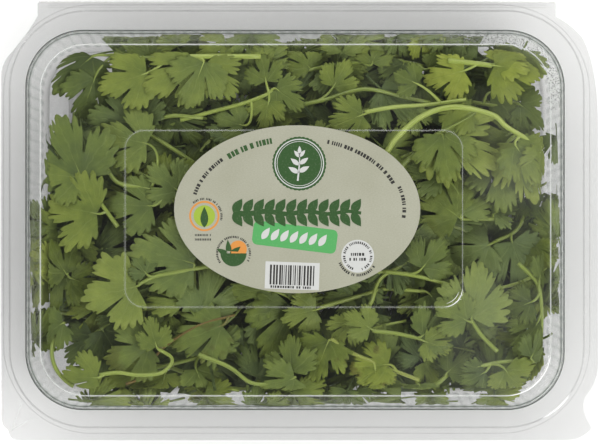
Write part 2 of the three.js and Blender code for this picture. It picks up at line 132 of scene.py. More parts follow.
def new_material(name):
    """A material with an empty node tree, and that tree."""
    material = bpy.data.materials.new(name)
    material.use_nodes = True
    material.node_tree.nodes.clear()
    return material, material.node_tree


# %% [markdown]
# ## Light and floor
#
# Clear plastic is best lit by a light tent: pale light from all round and no hard shadow. The world
# gives the tent. It is open at the top, where the camera looks in, or the flat lid would mirror it as
# a milky veil over the leaves. Wide softboxes on all four sides are mirrored in the round edges of
# the lid as thin bright lines. The strongest stands at the front right, so the left and the back of
# the rim lie in the soft shadow of the leaves. A plain pale floor carries the box.

# %% The tent and the softboxes
TENT_STRENGTH = 0.75
GAP_STRENGTH = 0.12  # of what is seen through the opening at the top
GAP_EDGE = (0.88, 0.98)  # height of a direction, 1 being straight up, where the opening begins and is full
world = bpy.data.worlds.new("light tent")
world.use_nodes = True
tree = world.node_tree
way = add_node(tree, "ShaderNodeTexCoord").outputs["Generated"]
up = add_node(tree, "ShaderNodeSeparateXYZ", [way]).outputs["Z"]
strength = add_node(tree, "ShaderNodeMapRange", {"Value": up, "From Min": GAP_EDGE[0],
                    "From Max": GAP_EDGE[1], "To Min": TENT_STRENGTH, "To Max": GAP_STRENGTH})
tree.nodes["Background"].inputs["Color"].default_value = linear("#ffffff")
tree.links.new(strength.outputs[0], tree.nodes["Background"].inputs["Strength"])
scene.world = world

SOFTBOXES = {  # side: place, width and height in metres, watts
    "front right": ((0.8, -0.5, 1.0), (0.7, 0.9), 11.3),
    "left": ((-0.9, 0.15, 0.8), (0.8, 1.0), 2.7),
    "back": ((0, 1.1, 0.8), (1.6, 1.1), 11),
    "front": ((0, -1.1, 0.8), (1.6, 0.9), 4.9),
}
for side, (place, size, watts) in SOFTBOXES.items():
    light = bpy.data.lights.new("softbox " + side, "AREA")
    light.shape = "RECTANGLE"
    light.size, light.size_y = size
    light.energy = watts
    lamp = bpy.data.objects.new("softbox " + side, light)
    lamp.location = place
    lamp.rotation_euler = (-Vector(place)).to_track_quat("-Z", "Y").to_euler()  # faces the box
    scene.collection.objects.link(lamp)

# %% The floor
FLOOR_SIZE = 6  # metres, so that its edge stays out of low views
floor_mesh = bpy.data.meshes.new("floor")
half = FLOOR_SIZE / 2
floor_mesh.from_pydata([(-half, -half, 0), (half, -half, 0), (half, half, 0), (-half, half, 0)], [],
                       [(0, 1, 2, 3)])
floor = bpy.data.objects.new("floor", floor_mesh)
scene.collection.objects.link(floor)
floor_paint, tree = new_material("matt white studio paint")
paint = add_node(tree, "ShaderNodeBsdfDiffuse", {"Color": linear("#f8f8f7")})
add_node(tree, "ShaderNodeOutputMaterial", {"Surface": paint})
floor_mesh.materials.append(floor_paint)
print("floor:", FLOOR_SIZE, "m square")

# %% [markdown]
# ## Skins
#
# Every piece here is made of closed skins: blades, tubes and shells, each a list of points and faces.
# A skin also carries two numbers for each point, which the material reads as its UV map, and values
# that hold for the whole skin, such as how pale a leaflet is. One function joins skins into a piece.

# %% Skins and pieces
def skin(points, faces, uv=None, flat=(), slot=0, **values):
    """A closed skin. flat: the numbers of the faces that are shaded flat. values: name=value."""
    uv = np.zeros((len(points), 2)) if uv is None else uv
    return {"points": points, "faces": faces, "uv": uv, "flat": flat, "slot": slot, "values": values}


def make_piece(name, skins, materials, values=()):
    """A mesh object at the origin, in metres, of skins in millimetres."""
    starts = np.cumsum([0] + [len(one["points"]) for one in skins])
    faces = [[start + corner for corner in face]
             for one, start in zip(skins, starts) for face in one["faces"]]
    mesh = bpy.data.meshes.new(name)
    mesh.from_pydata((np.vstack([one["points"] for one in skins]) * MM).tolist(), [], faces)
    corners = np.empty(len(mesh.loops), int)
    mesh.loops.foreach_get("vertex_index", corners)
    uv = np.vstack([one["uv"] for one in skins])[corners]
    mesh.uv_layers.new(name="UVMap").data.foreach_set("uv", uv.ravel())
    mesh.shade_smooth()
    slots = np.concatenate([np.full(len(one["faces"]), one["slot"]) for one in skins])
    mesh.polygons.foreach_set("material_index", slots)
    first = 0
    for one in skins:
        for face in one["flat"]:
            mesh.polygons[first + face].use_smooth = False
        first += len(one["faces"])
    for value in values:
        column = np.concatenate([np.full(len(one["points"]), one["values"].get(value, 0.0))
                                 for one in skins])
        mesh.attributes.new(value, "FLOAT", "POINT").data.foreach_set("value", column)
    for material in materials:
        mesh.materials.append(material)
    piece = bpy.data.objects.new(name, mesh)
    scene.collection.objects.link(piece)
    return piece


def triangles(piece):
    """How many triangles a piece has."""
    return sum(len(polygon.vertices) - 2 for polygon in piece.data.polygons)


# %% Rings of points
def faces_between(levels, sides, closed=False, turned_over=False):
    """Faces between rings of points, for so many rings of so many sides."""
    faces = []
    for level in range(levels if closed else levels - 1):
        low, high = level * sides, (level + 1) % levels * sides
        for k in range(sides):
            near, far = low + (k + 1) % sides, high + (k + 1) % sides
            faces.append((low + k, high + k, far, near) if turned_over else (low + k, near, far, high + k))
    return faces


def lengths_along(points):
    """How far along a path each of its points is."""
    return np.concatenate([[0], np.cumsum(np.linalg.norm(np.diff(points, axis=0), axis=1))])


def bow(start, control, stop, t):
    """The point at a share t of a quadratic curve from start to stop."""
    return start * (1 - t) ** 2 + 2 * control * t * (1 - t) + stop * t * t


# %% A tube through points
def tube(points, radii, sides, slot=0, **values):
    """A closed tube. Its UV map holds the way round and the way along, in millimetres."""
    points = np.asarray(points, float)
    tangent = np.gradient(points, axis=0)
    tangent /= np.linalg.norm(tangent, axis=1)[:, None]
    side = np.cross(tangent, (0, 0, 1))
    side /= np.linalg.norm(side, axis=1)[:, None]
    down = np.cross(tangent, side)
    turn = np.linspace(0, 2 * np.pi, sides, endpoint=False)
    section = np.cos(turn)[None, :, None] * down[:, None] - np.sin(turn)[None, :, None] * side[:, None]
    rings = points[:, None] + section * np.asarray(radii, float)[:, None, None]
    along = lengths_along(points)
    uv = np.stack(np.broadcast_arrays(turn[None], along[:, None]), axis=-1).reshape(-1, 2)
    faces = faces_between(len(points), sides)
    last = (len(points) - 1) * sides
    faces.append(list(range(sides))[::-1])
    faces.append([last + k for k in range(sides)])
    flat = (len(faces) - 2, len(faces) - 1)
    return skin(rings.reshape(-1, 3), faces, uv, flat, slot, **values)


# %% [markdown]
# ## Living leaf
#
# A coriander leaflet is thin, soft and matt, with a faint waxy bloom. Its colour runs from dark to
# yellow green with age and shade. Pale veins spread from its foot like a fan and fork on the way out.
# Thin tissue lets some light through, so a translucent shader is mixed in, in a brighter yellow green.
#
# The veins read the leaflet's own UV map, which holds the angle from the rib and the distance from
# the foot. They could be modelled, but at under 0.2 mm they are finer than a pixel.

# %% The leaf material
REACH_UNIT = 30  # mm of distance from the foot for 1 on the UV map
VEIN_ANGLES = (58, 14.5)  # degrees between the ribs of the lobes, and between the veins of the teeth
VEIN_STARTS = (0.0, 6.0)  # mm from the foot
VEIN_GROWTH = 2  # mm over which a vein comes up
VEIN_EDGE = (0.1, 0.42)  # mm from a vein's middle, where it starts to fade and where it is gone
VEIN_SWAY = 0.22  # how far a vein strays from a straight line, in radians
TOOTH_VEIN = 0.6  # how strong the veins of the teeth are beside the ribs
VEIN_SHOW = 0.1  # how much of its own pale green a vein shows
MOTTLE = 0.35  # how far the tone varies within a blade
MARGIN = (9.0, 0.012)  # beyond this reach in mm a blade is paler by this much for each mm
SPOILT_FROM = (0.58, 0.64)  # values of a noise between which a withered patch begins
LEAF_GRAIN = {  # noises: (how many swings to a millimetre, detail)
    "sway": (0.35, 2.0),  # 3 mm each, in the course of the veins
    "mottle": (0.22, 3.0),  # 4.5 mm
    "rot": (0.12, 4.0),  # 8 mm
    "puckers": (0.9, 2.0),  # 1 mm, in the relief
    "swells": (0.16, 1.0),  # 6 mm, in the relief
}
RELIEF = {"puckers": 0.6, "lines": 0.7, "swells": 8.0}  # share of each in the relief; veins are sunk in
LEAF_TONES = ((0.0, "#202a0e"), (0.25, "#3e4c19"), (0.5, "#67762b"), (0.75, "#8c993c"), (1.0, "#b5bf5a"))


def fill_ramp(ramp, stops):
    """Set a colour ramp's stops."""
    while len(ramp.elements) < len(stops):
        ramp.elements.new(0.5)
    for element, (place, code) in zip(ramp.elements, stops):
        element.position = place
        element.color = linear(code)


def vein_lines(tree, angle, reach, spacing, start):
    """1 on veins that spread from the foot at this spacing, and 0 between them."""
    away = add_node(tree, "ShaderNodeMath", [angle, math.radians(spacing) / 2], operation="PINGPONG")
    away = add_node(tree, "ShaderNodeMath", [away, reach], operation="MULTIPLY")
    line = add_node(tree, "ShaderNodeMapRange", {"Value": away, "From Min": VEIN_EDGE[0],
                    "From Max": VEIN_EDGE[1], "To Min": 1.0, "To Max": 0.0},
                    interpolation_type="SMOOTHSTEP")
    begun = add_node(tree, "ShaderNodeMapRange", {"Value": reach, "From Min": start,
                     "From Max": start + VEIN_GROWTH})
    return add_node(tree, "ShaderNodeMath", [line, begun], operation="MULTIPLY")


leaf_paint, tree = new_material("coriander leaf tissue")
place = add_node(tree, "ShaderNodeTexCoord").outputs
grain = {name: add_node(tree, "ShaderNodeTexNoise", {"Vector": place["Object"], "Scale": count / MM,
                        "Detail": detail}) for name, (count, detail) in LEAF_GRAIN.items()}
on_blade = add_node(tree, "ShaderNodeSeparateXYZ", [place["UV"]]).outputs
sway = add_node(tree, "ShaderNodeMath", [grain["sway"], 0.5], operation="SUBTRACT")
sway = add_node(tree, "ShaderNodeMath", [sway, VEIN_SWAY], operation="MULTIPLY")
turn = add_node(tree, "ShaderNodeMath", [on_blade["X"], 0.5], operation="SUBTRACT")
turn = add_node(tree, "ShaderNodeMath", [turn, 2 * math.pi], operation="MULTIPLY")
turn = add_node(tree, "ShaderNodeMath", [turn, sway], operation="ADD")
reach = add_node(tree, "ShaderNodeMath", [on_blade["Y"], REACH_UNIT], operation="MULTIPLY")
ribs, veins = [vein_lines(tree, turn, reach, *pair) for pair in zip(VEIN_ANGLES, VEIN_STARTS)]
veins = add_node(tree, "ShaderNodeMath", [veins, TOOTH_VEIN], operation="MULTIPLY")
lines = add_node(tree, "ShaderNodeMath", [ribs, veins], operation="MAXIMUM")
print("nodes for the veins:", len(tree.nodes))

# %% The green of a blade
# A blade's own tone, mottled, and paler towards its margin, picks the green.
tone, bloom, wither = [add_node(tree, "ShaderNodeAttribute", attribute_name=name).outputs["Fac"]
                       for name in ("tone", "bloom", "wither")]
mottle = add_node(tree, "ShaderNodeMath", [grain["mottle"], 0.5], operation="SUBTRACT")
mottle = add_node(tree, "ShaderNodeMath", [mottle, MOTTLE], operation="MULTIPLY")
shade = add_node(tree, "ShaderNodeMath", [tone, mottle], operation="ADD")
paler = add_node(tree, "ShaderNodeMath", [reach, MARGIN[0]], operation="SUBTRACT")
paler = add_node(tree, "ShaderNodeMath", [paler, MARGIN[1]], operation="MULTIPLY")
shade = add_node(tree, "ShaderNodeMath", [shade, paler], operation="ADD")
ramp = add_node(tree, "ShaderNodeValToRGB", [shade])
fill_ramp(ramp.color_ramp, LEAF_TONES)

# Then come the waxy bloom, the veins and the withered patches, each mixed in by its own share.
# The colours of a Mix node are its inputs 6 and 7, and its output 2.
shown = add_node(tree, "ShaderNodeMath", [lines, VEIN_SHOW], operation="MULTIPLY")
spoiled = add_node(tree, "ShaderNodeMapRange", {"Value": grain["rot"], "From Min": SPOILT_FROM[0],
                   "From Max": SPOILT_FROM[1]})
spoiled = add_node(tree, "ShaderNodeMath", [spoiled, wither], operation="MULTIPLY")
green = ramp.outputs[0]
for share, code in ((bloom, "#6c7f54"), (shown, "#a9b96c"), (spoiled, "#4a3a14")):
    mixed = add_node(tree, "ShaderNodeMix", {0: share, 6: green, 7: linear(code)}, data_type="RGBA")
    green = mixed.outputs[2]
print("with the green:", len(tree.nodes))

# %% The relief of a blade, and its tissue
relief = {"puckers": grain["puckers"], "lines": lines, "swells": grain["swells"]}
relief = {name: add_node(tree, "ShaderNodeMath", [part, RELIEF[name]], operation="MULTIPLY")
          for name, part in relief.items()}
height = add_node(tree, "ShaderNodeMath", [relief["puckers"], relief["lines"]], operation="SUBTRACT")
height = add_node(tree, "ShaderNodeMath", [height, relief["swells"]], operation="ADD")
bump = add_node(tree, "ShaderNodeBump", {"Height": height, "Strength": 0.5, "Distance": 0.35 * MM})
tissue = add_node(tree, "ShaderNodeBsdfPrincipled", {"Base Color": green, "Roughness": 0.5,
                  "Specular IOR Level": 0.22, "Normal": bump})
glow = add_node(tree, "ShaderNodeMix", {0: 0.5, 6: green, 7: linear("#c8d84a")}, data_type="RGBA",
                blend_type="MULTIPLY")
through = add_node(tree, "ShaderNodeBsdfTranslucent", {"Color": glow.outputs[2], "Normal": bump})
leaf = add_node(tree, "ShaderNodeMixShader", [0.2, tissue, through])
add_node(tree, "ShaderNodeOutputMaterial", {"Surface": leaf})
print("with the tissue:", len(tree.nodes))

# %% [markdown]
# ## Stems
#
# A coriander stem is round, crisp and finely ribbed along its length, paler and shinier than the
# leaves. The ribs are only half a millimetre apart, so they are a bump, which follows the UV map round
# the stem, and streaks of colour run along it.

# %% The stem material
RIBS_ROUND = 9
STREAKS = (1.2, 0.08, 1)  # streaks to a radian round the stem and to a millimetre along it
STREAK_SHOW = 0.7
STEM_TONES = ((0.0, "#4a5722"), (0.4, "#728237"), (0.7, "#94a449"), (1.0, "#bac673"))

stem_paint, tree = new_material("coriander stem skin")
place = add_node(tree, "ShaderNodeTexCoord").outputs
way_round = add_node(tree, "ShaderNodeSeparateXYZ", [place["UV"]])
ridge = add_node(tree, "ShaderNodeMath", [way_round, RIBS_ROUND], operation="MULTIPLY")
ridge = add_node(tree, "ShaderNodeMath", [ridge], operation="SINE")
stretch = add_node(tree, "ShaderNodeMapping", {"Vector": place["UV"], "Scale": STREAKS})
streak = add_node(tree, "ShaderNodeTexNoise", {"Vector": stretch, "Scale": 1.0, "Detail": 3.0})
streak = add_node(tree, "ShaderNodeMath", [streak, 0.5], operation="SUBTRACT")
streak = add_node(tree, "ShaderNodeMath", [streak, STREAK_SHOW], operation="MULTIPLY")
tone, wither = [add_node(tree, "ShaderNodeAttribute", attribute_name=name).outputs["Fac"]
                for name in ("tone", "wither")]
shade = add_node(tree, "ShaderNodeMath", [tone, streak], operation="ADD")
ramp = add_node(tree, "ShaderNodeValToRGB", [shade])
fill_ramp(ramp.color_ramp, STEM_TONES)
green = add_node(tree, "ShaderNodeMix", {0: wither, 6: ramp, 7: linear("#6b4716")}, data_type="RGBA")
bump = add_node(tree, "ShaderNodeBump", {"Height": ridge, "Strength": 0.35, "Distance": 0.1 * MM})
stem_skin = add_node(tree, "ShaderNodeBsdfPrincipled", {"Base Color": green.outputs[2],
                     "Roughness": 0.35, "Specular IOR Level": 0.5, "Normal": bump})
add_node(tree, "ShaderNodeOutputMaterial", {"Surface": stem_skin})
print("stem nodes:", len(tree.nodes))

# %% [markdown]
# ## Where the sprigs lie
#
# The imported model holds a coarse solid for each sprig, laid on the ones below it, or against the lid
# on the ones above it. A finer leaflet has to lie exactly there. It could be shrunk onto the solid,
# but a leaflet that crosses its own stem would then snap to the wrong face. Here the laying is
# repeated instead: the same draws, the same bending, and the same heap of heights.

# %% The room in the box
FOOT_INSET = 6.5
TRAY_HEIGHT = 36
LID_TOP = 46.8
PANEL_TOP = 48
FLOOR_RISE = 2
FRAME_WALL = 0.7  # thickness of the frame's walls
WALL_GAP = 1.2  # kept between the leaves and the box
BEND = 5  # leaves start to bend along a wall this far from it
CELLS = (230, 170)  # the heap's cells of 1 mm, along X and Y


def grow(rectangle, by):
    """A rounded rectangle [least x, greatest x, least y, greatest y, corner radius], made larger."""
    return np.asarray(rectangle, float) + np.array((-by, by, -by, by, by * 0.7))


MOUTH = np.array((-105.5, 101.8, -72.4, 73.6, 22))
DOME_EDGE = np.array((-99.5, 96.2, -66.8, 67.9, 17.5))
PANEL = np.array((-67.1, 62.5, -32.9, 35, 7.3))
FOOT = grow(MOUTH, -FOOT_INSET)
print("the tray's foot in plan:", FOOT.round(1))


def keep_inside(points, gap=WALL_GAP, bend=BEND):
    """Bend what would pass the wall of the box along it."""
    z = points[:, 2:]
    low = FOOT + (MOUTH - FOOT) * np.clip(z / TRAY_HEIGHT, 0, 1)
    high = MOUTH + (DOME_EDGE - MOUTH) * np.clip((z - TRAY_HEIGHT) / (LID_TOP - TRAY_HEIGHT), 0, 1)
    x0, x1, y0, y1, radius = grow(np.where(z < TRAY_HEIGHT, low, high), -FRAME_WALL - gap).T
    middle = np.stack((np.clip(points[:, 0], x0 + radius, x1 - radius),
                       np.clip(points[:, 1], y0 + radius, y1 - radius)), axis=1)
    out = np.hypot(*(points[:, :2] - middle).T)
    depth = radius - out
    kept = radius - bend * np.exp((depth - bend) / bend)
    pull = np.where((depth < bend) & (out > 0), kept / np.maximum(out, 1e-9), 1)
    points[:, :2] = middle + (points[:, :2] - middle) * pull[:, None]
    return points


# %% [markdown]
# The heap is a field of heights, one for each square millimetre. A sprig sags on it, so what it bends
# to is the field evened out, and it then rests with a small gap on the highest point under it.

# %% The heaps
SAG_REACH = 7  # cells each way that a height is evened out over
SHADOW_STEP = 0.6


def new_heap(side, base, follow):
    """side: 1 for a heap on the floor, -1 for one under the lid. follow: how closely a sprig bends."""
    return {"side": side, "base": base, "follow": follow, "heights": np.full(CELLS[1] * CELLS[0], base)}


def cells_of(x, y):
    """Column and row of the cell that each point is over."""
    column = np.clip(np.floor(x + CELLS[0] / 2).astype(int), 0, CELLS[0] - 1)
    row = np.clip(np.floor(y + CELLS[1] / 2).astype(int), 0, CELLS[1] - 1)
    return column, row


def evened_out(heights):
    """The mean of the heights over a square round each cell, along rows and then columns."""
    cells = np.arange(len(heights))
    for stride in (1, CELLS[0]):
        near = [heights[np.clip(cells + k * stride, 0, len(heights) - 1)]
                for k in range(-SAG_REACH, SAG_REACH + 1)]
        heights = np.mean(near, axis=0)
    return heights.reshape(CELLS[1], CELLS[0])


def field_at(field, x, y):
    """A field at points between the middles of its cells."""
    x = np.clip(x + CELLS[0] / 2 - 0.5, 0, CELLS[0] - 1.001)
    y = np.clip(y + CELLS[1] / 2 - 0.5, 0, CELLS[1] - 1.001)
    column, row = x.astype(int), y.astype(int)
    u, v = x - column, y - row
    near = field[row, column] * (1 - u) + field[row, column + 1] * u
    far = field[row + 1, column] * (1 - u) + field[row + 1, column + 1] * u
    return near * (1 - v) + far * v


def settle(points, heap, heights_at):
    """Bend points to the heap and clear of the box. heights_at gives the evened heights at x and y."""
    lift = heap["base"] + (heights_at(points[:, 0], points[:, 1]) - heap["base"]) * heap["follow"]
    points[:, 2] += heap["side"] * lift
    return keep_inside(points)


def raise_heap(heap, corners):
    """Add a laid sprig, given as its triangles' corners, to the heap."""
    top = np.full((CELLS[1] + 2, CELLS[0] + 2), -np.inf)
    for a, b, c in corners:
        longest = max(np.linalg.norm(a - b), np.linalg.norm(b - c), np.linalg.norm(c - a))
        steps = max(math.ceil(longest / SHADOW_STEP), 1)
        i, j = np.mgrid[0:steps + 1, 0:steps + 1]
        i, j = i[i + j <= steps] / steps, j[i + j <= steps] / steps
        spots = a * (1 - i - j)[:, None] + b * i[:, None] + c * j[:, None]
        column, row = cells_of(spots[:, 0], spots[:, 1])
        np.maximum.at(top, (row + 1, column + 1), heap["side"] * spots[:, 2])
    spread = np.max([top[i:i + CELLS[1], j:j + CELLS[0]] for i in range(3) for j in range(3)], axis=0)
    heap["heights"] = np.maximum(heap["heights"], spread.ravel())


on_floor = new_heap(1, FLOOR_RISE + FRAME_WALL, 0.85)
under_lid = new_heap(-1, FRAME_WALL - LID_TOP, 0.9)
print("heaps of", CELLS[0] * CELLS[1], "heights each")

# %% [markdown]
# ## The sprigs
#
# The top sprigs are listed one by one: a stem through a few points, and leaflets, each given by its foot,
# the heading of its rib and its length. The lower ones lie loosely about given places. Their turns
# and tilts come from a small generator, the same as the imported model's, so both agree.

# %% The top sprigs
# Name: (press, stem points in plan, leaflets as (x, y of the foot, heading in degrees, length)).
# press is how far a sprig's own tilts and waves are kept, from 0, pressed flat, to 1.
TOP_SPRIGS = {
    "back_left_corner": (0.5, [(-38, 61), (-55, 63), (-65, 63), (-73, 65)],
        [(-80, 64, -135, 22), (-79, 55, -110, 18)]),
    "left_hollow": (0.5, [(-40, 22), (-52, 30), (-62, 36)],
        [(-65, 38, 172, 17), (-61, 38, 98, 15)]),
    "left_wall": (0.5, [(-84, 2), (-88, -8), (-90, -18)],
        [(-90, -20, 125, 16), (-91, -21, -115, 15), (-88, -22, -20, 12)]),
    "front_left_dark": (0.5, [(-64, -34), (-73, -39), (-80, -44)],
        [(-80, -44, -135, 15), (-76, -42, -60, 14), (-68, -36, 150, 13)]),
    "front_left_low": (0.5, [(-30, -50), (-45, -54), (-58, -57)],
        [(-60, -57, -150, 18), (-52, -59, -100, 13), (-40, -57, -70, 13)]),
    "front_right_dark": (0.5, [(80, -44), (73, -49), (66, -55)],
        [(66, -56, -165, 18), (62, -49, 170, 16)]),
    "front_bottom": (0.5, [(57, -59), (48, -66), (36, -62)],
        [(57, -58, 40, 12), (46, -64, -80, 10), (34, -60, -120, 13)]),
    "right_middle_low": (0.5, [(89, 8), (84, -3), (75, -8)],
        [(73, -9, -155, 20), (82, -8, -70, 20)]),
    "back_middle": (0.5, [(0, 58), (18, 61), (36, 62), (48, 60)],
        [(4, 59, 130, 13), (16, 60, -60, 13), (28, 61, 75, 12), (40, 61, -110, 14), (50, 59, 25, 13)]),
    "front_curl": (0.5, [(-88, -66), (-95, -57), (-96, -48), (-92, -41)],
        [(-91, -39, -150, 13)]),
    "front_middle": (0.4, [(16, -27), (6, -30), (-2, -32)],
        [(-3, -33, -116, 23), (-11, -27, 178, 17)]),
    "back_stems_left": (0.4, [(-4, 44), (10, 47), (25, 51), (40, 48), (50, 46)],
        [(-5, 43, -170, 14), (13, 52, 60, 12)]),
    "right_wall": (0.4, [(84, -16), (92, -24), (95, -32), (95, -40), (93, -50)],
        [(89, -31, -158, 12), (92, -39, -127, 16), (94, -22, 60, 11)]),
    "front_right_corner": (0.4, [(64, -57), (78, -54), (92, -54)],
        [(71, -58, -150, 11), (79, -57, -55, 15), (89, -52, 60, 12)]),
    "back_right_edge": (0.4, [(58, 47), (67, 46), (76, 45), (84, 46)],
        [(85, 45, -35, 15), (74, 50, 5, 17), (66, 47, 165, 11)]),
    "right_middle": (0.4, [(76, 1), (69, 1), (62, 1)],
        [(61, 2, 145, 19), (62, 3, 75, 17), (55, 17, 161, 15), (75, 3, 20, 10)]),
    "right_folded": (0.4, [(84, 34), (80, 30), (78, 25)],
        [(78, 24, -88, 21), (85, 30, -75, 24)]),
    "bundle_front": (0.3, [(8, -33), (22, -29), (33, -26), (48, -27)],
        [(50, -28, -50, 15), (6, -34, -165, 14)]),
    "bundle_cross": (0.3, [(20, -38), (27, -32), (31, -22), (41, -16)],
        [(42, -15, 35, 14), (19, -39, -125, 11)]),
    "bundle_back": (0.3, [(32, -19), (45, -21), (60, -25)],
        [(60, -26, -65, 12), (47, -18, 50, 14)]),
    "front_right": (0.3, [(12, -45), (19, -50), (33, -56), (46, -61)],
        [(11, -46, -112, 17), (34, -55, -175, 15), (29, -57, -85, 12)]),
    "front_stem": (0.3, [(28, -42), (37, -43), (46, -45)],
        [(47, -44, 35, 14), (48, -46, -20, 11), (27, -41, 150, 12)]),
    "right_big": (0.3, [(76, -50), (70, -44), (66, -38)],
        [(66, -37, 80, 22), (64, -38, 150, 14)]),
    "front_brown": (0.3, [(-67, -63), (-60, -59), (-53, -49), (-39, -40), (-25, -36)],
        [(-30, -40, -158, 21), (-58, -48, -158, 18)]),
    "front_pair": (0.3, [(-39, -51), (-27, -56), (-17, -63), (-5, -62)],
        [(-2, -60, -150, 15), (-3, -58, 95, 15)]),
    "front_loop": (0.3, [(-77, -59), (-70, -58), (-62, -59), (-53, -58), (-49, -53), (-54, -49)],
        [(-78, -60, 178, 14), (-55, -48, 105, 12)]),
    "left_middle": (0.3, [(-84, 24), (-76, 22), (-70, 15), (-60, 13), (-50, 10)],
        [(-59, 30, 165, 18), (-47, 12, 140, 15), (-57, 6, 178, 18)]),
    "left_big": (0.25, [(-70, -2), (-78, 9), (-83, 16)],
        [(-84, 17, 112, 26), (-85, 17, 174, 16), (-78, 3, 168, 21)]),
    "front_left_pale": (0.25, [(-34, -17), (-45, -19), (-55, -21), (-62, -24)],
        [(-63, -25, -166, 22), (-41, -16, 165, 25), (-59, -20, 125, 9)]),
    "back_left_cut": (0.3, [(-46, 39), (-31, 43), (-20, 46), (-10, 50)],
        [(-22, 37, 163, 12), (-12, 46, -100, 11), (-9, 51, -35, 13), (-13, 54, 100, 12)]),
    "under_arch": (0.3, [(38, 20), (46, 28), (53, 34)],
        [(54, 34, -33, 26), (55, 33, -82, 18), (66, 42, -165, 13)]),
    "back_right_corner": (0.3, [(57, 62), (66, 61), (74, 60)],
        [(75, 60, -8, 20), (76, 61, 35, 17), (63, 58, -165, 16)]),
    "back_stems_right": (0.25, [(25, 42), (36, 44), (50, 45), (64, 47)],
        [(45, 53, 155, 10), (24, 41, -160, 14)]),
    "arch": (0.25, [(33, 26), (38, 33), (48, 41), (60, 44), (74, 41), (80, 36), (94, 28)],
        [(94, 27, -105, 14), (83, 29, -55, 18)]),
    "back_left_bright": (0.25, [(-52, 63), (-35, 64), (-15, 64)],
        [(-59, 57, -161, 20), (-41, 61, -148, 22), (-37, 61, -110, 19), (-36, 60, -48, 17)]),
}
print(len(TOP_SPRIGS), "sprigs with", sum(len(rows) for _, _, rows in TOP_SPRIGS.values()), "leaflets")

# %% The lower sprigs
TOP_SEED = 20261
LOWER_SEED = 5
LOWER_PLACES = ((-66, -34, 0.85), (-64, 34, 0.85), (0, 32, 0.85), (64, -34, 0.85), (62, 30, 0.85),
                (-34, -30, 0.7), (-52, 24, 0.7), (-50, 42, 0.7), (26, -36, 0.7), (62, -6, 0.7),
                (46, -44, 0.7), (-38, -14, 0.7), (-2, 20, 0.7), (44, 40, 0.7))


class Draws:
    """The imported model's small generator."""

    def __init__(self, seed):
        self.seed = seed

    def __call__(self, low, high):
        self.seed = self.seed * 16807 % 2147483647
        return low + (high - low) * self.seed / 2147483647


def lower_sprig(draw, x, y, press):
    """A loose sprig about a place: a leaflet at the end of its stem and one on either side."""
    heading = draw(-0.6, 0.6)
    heading += math.pi if draw(0, 1) < 0.5 else 0
    half, aside = draw(22, 28), draw(-6, 6)

    def at(along, across):
        return (x + along * math.cos(heading) - across * math.sin(heading),
                y + along * math.sin(heading) + across * math.cos(heading))

    slope = draw(0, 0.08) * press
    leaves = []
    for along, across, turn in ((half + 3, aside, 0), (half - 9, aside + 9, 70), (0, -9, -75)):
        leaves.append((*at(along, across), math.degrees(heading) + turn + draw(-15, 15), draw(19, 25)))
    return press, [at(-half, aside), at(0, 0), at(half, aside)], leaves, slope


# %% [markdown]
# A stem follows a Catmull-Rom curve through its points, as smooth as a bent stem is. A leaflet's
# stalk leaves it at the joint that is near and that the leaflet points away from.

# %% Stem curve and joints
PATH_STEPS = 24  # points on the curve for each stretch of a stem


def path_through(points):
    """Points on the curve through these points."""
    points = np.asarray(points, float)
    ends = np.vstack((2 * points[0] - points[1], points, 2 * points[-1] - points[-2]))
    shares = np.linspace(0, 1, PATH_STEPS, endpoint=False)[:, None]
    stretches = []
    for before, start, stop, after in zip(ends, ends[1:], ends[2:], ends[3:]):
        pull, push = (stop - before) / 2, (after - start) / 2
        stretches.append(start + pull * shares + (3 * (stop - start) - 2 * pull - push) * shares ** 2
                         + (2 * (start - stop) + pull + push) * shares ** 3)
    return np.vstack((*stretches, points[-1]))


def along_path(path, shares):
    """Points at shares of a path's length."""
    lengths = lengths_along(path)
    return np.stack([np.interp(np.asarray(shares) * lengths[-1], lengths, path[:, k]) for k in range(3)], 1)


def root_of(foot, heading, joints):
    """The joint that a stalk to this foot leaves the stem at."""
    away = foot[:2] - joints[:, :2]
    cost = 2 * np.hypot(*away.T) - away @ (math.cos(heading), math.sin(heading))
    return joints[np.argmin(cost)]


# %% [markdown]
# ## A leaflet
#
# A coriander leaflet is about as wide as it is long, with three lobes parted by deep clefts. Each lobe
# is a wedge, cut again into smaller ones with blunt teeth. Its outline is drawn round the foot by
# angle and reach: each tooth is an arch between two notches, and the draws move every notch and tooth
# a little, so that no two leaflets are alike. A picture on a plane would be quicker, but it has no
# edge and no thickness.

# %% The outline of a leaflet
NOTCH_ANGLES = (5.5, 14, 22, 28.5, 34.5, 42, 50.5, 60, 69, 80, 92, 106)  # degrees from the rib
NOTCH_REACHES = (0.91, 0.84, 0.78, 0.38, 0.38, 0.74, 0.80, 0.86, 0.78, 0.68, 0.46, 0.15)  # of the length
TOOTH_REACHES = (0.98, 0.90, 0.84, 0.38, 0.80, 0.88, 0.95, 0.93, 0.84, 0.74, 0.52)  # beyond each notch
CLEFT = 3  # the number of the notch where the cleft between two lobes begins
CUTS = (1, 6, 8)  # notches that are cut deeper in some leaflets than in others
CLEFT_SPREAD = (0.75, 1.3)  # how the draws vary a cleft, from deeper to shallower
CUT_SPREAD = (0.72, 1)
NOTCH_SPREAD = (0.04, 0.8)  # standard deviations: a share of the reach, and degrees
TIP_SPREAD = 0.045
TOOTH_POWER = 2.8  # 1 for a sharp tooth, 2 and more for a round one
FINE_TOOTH = (0, 0.18, 0.4, 0.6, 0.82)  # where the outline is sampled across a tooth
PLAIN_TOOTH = (0, 0.3, 0.7)


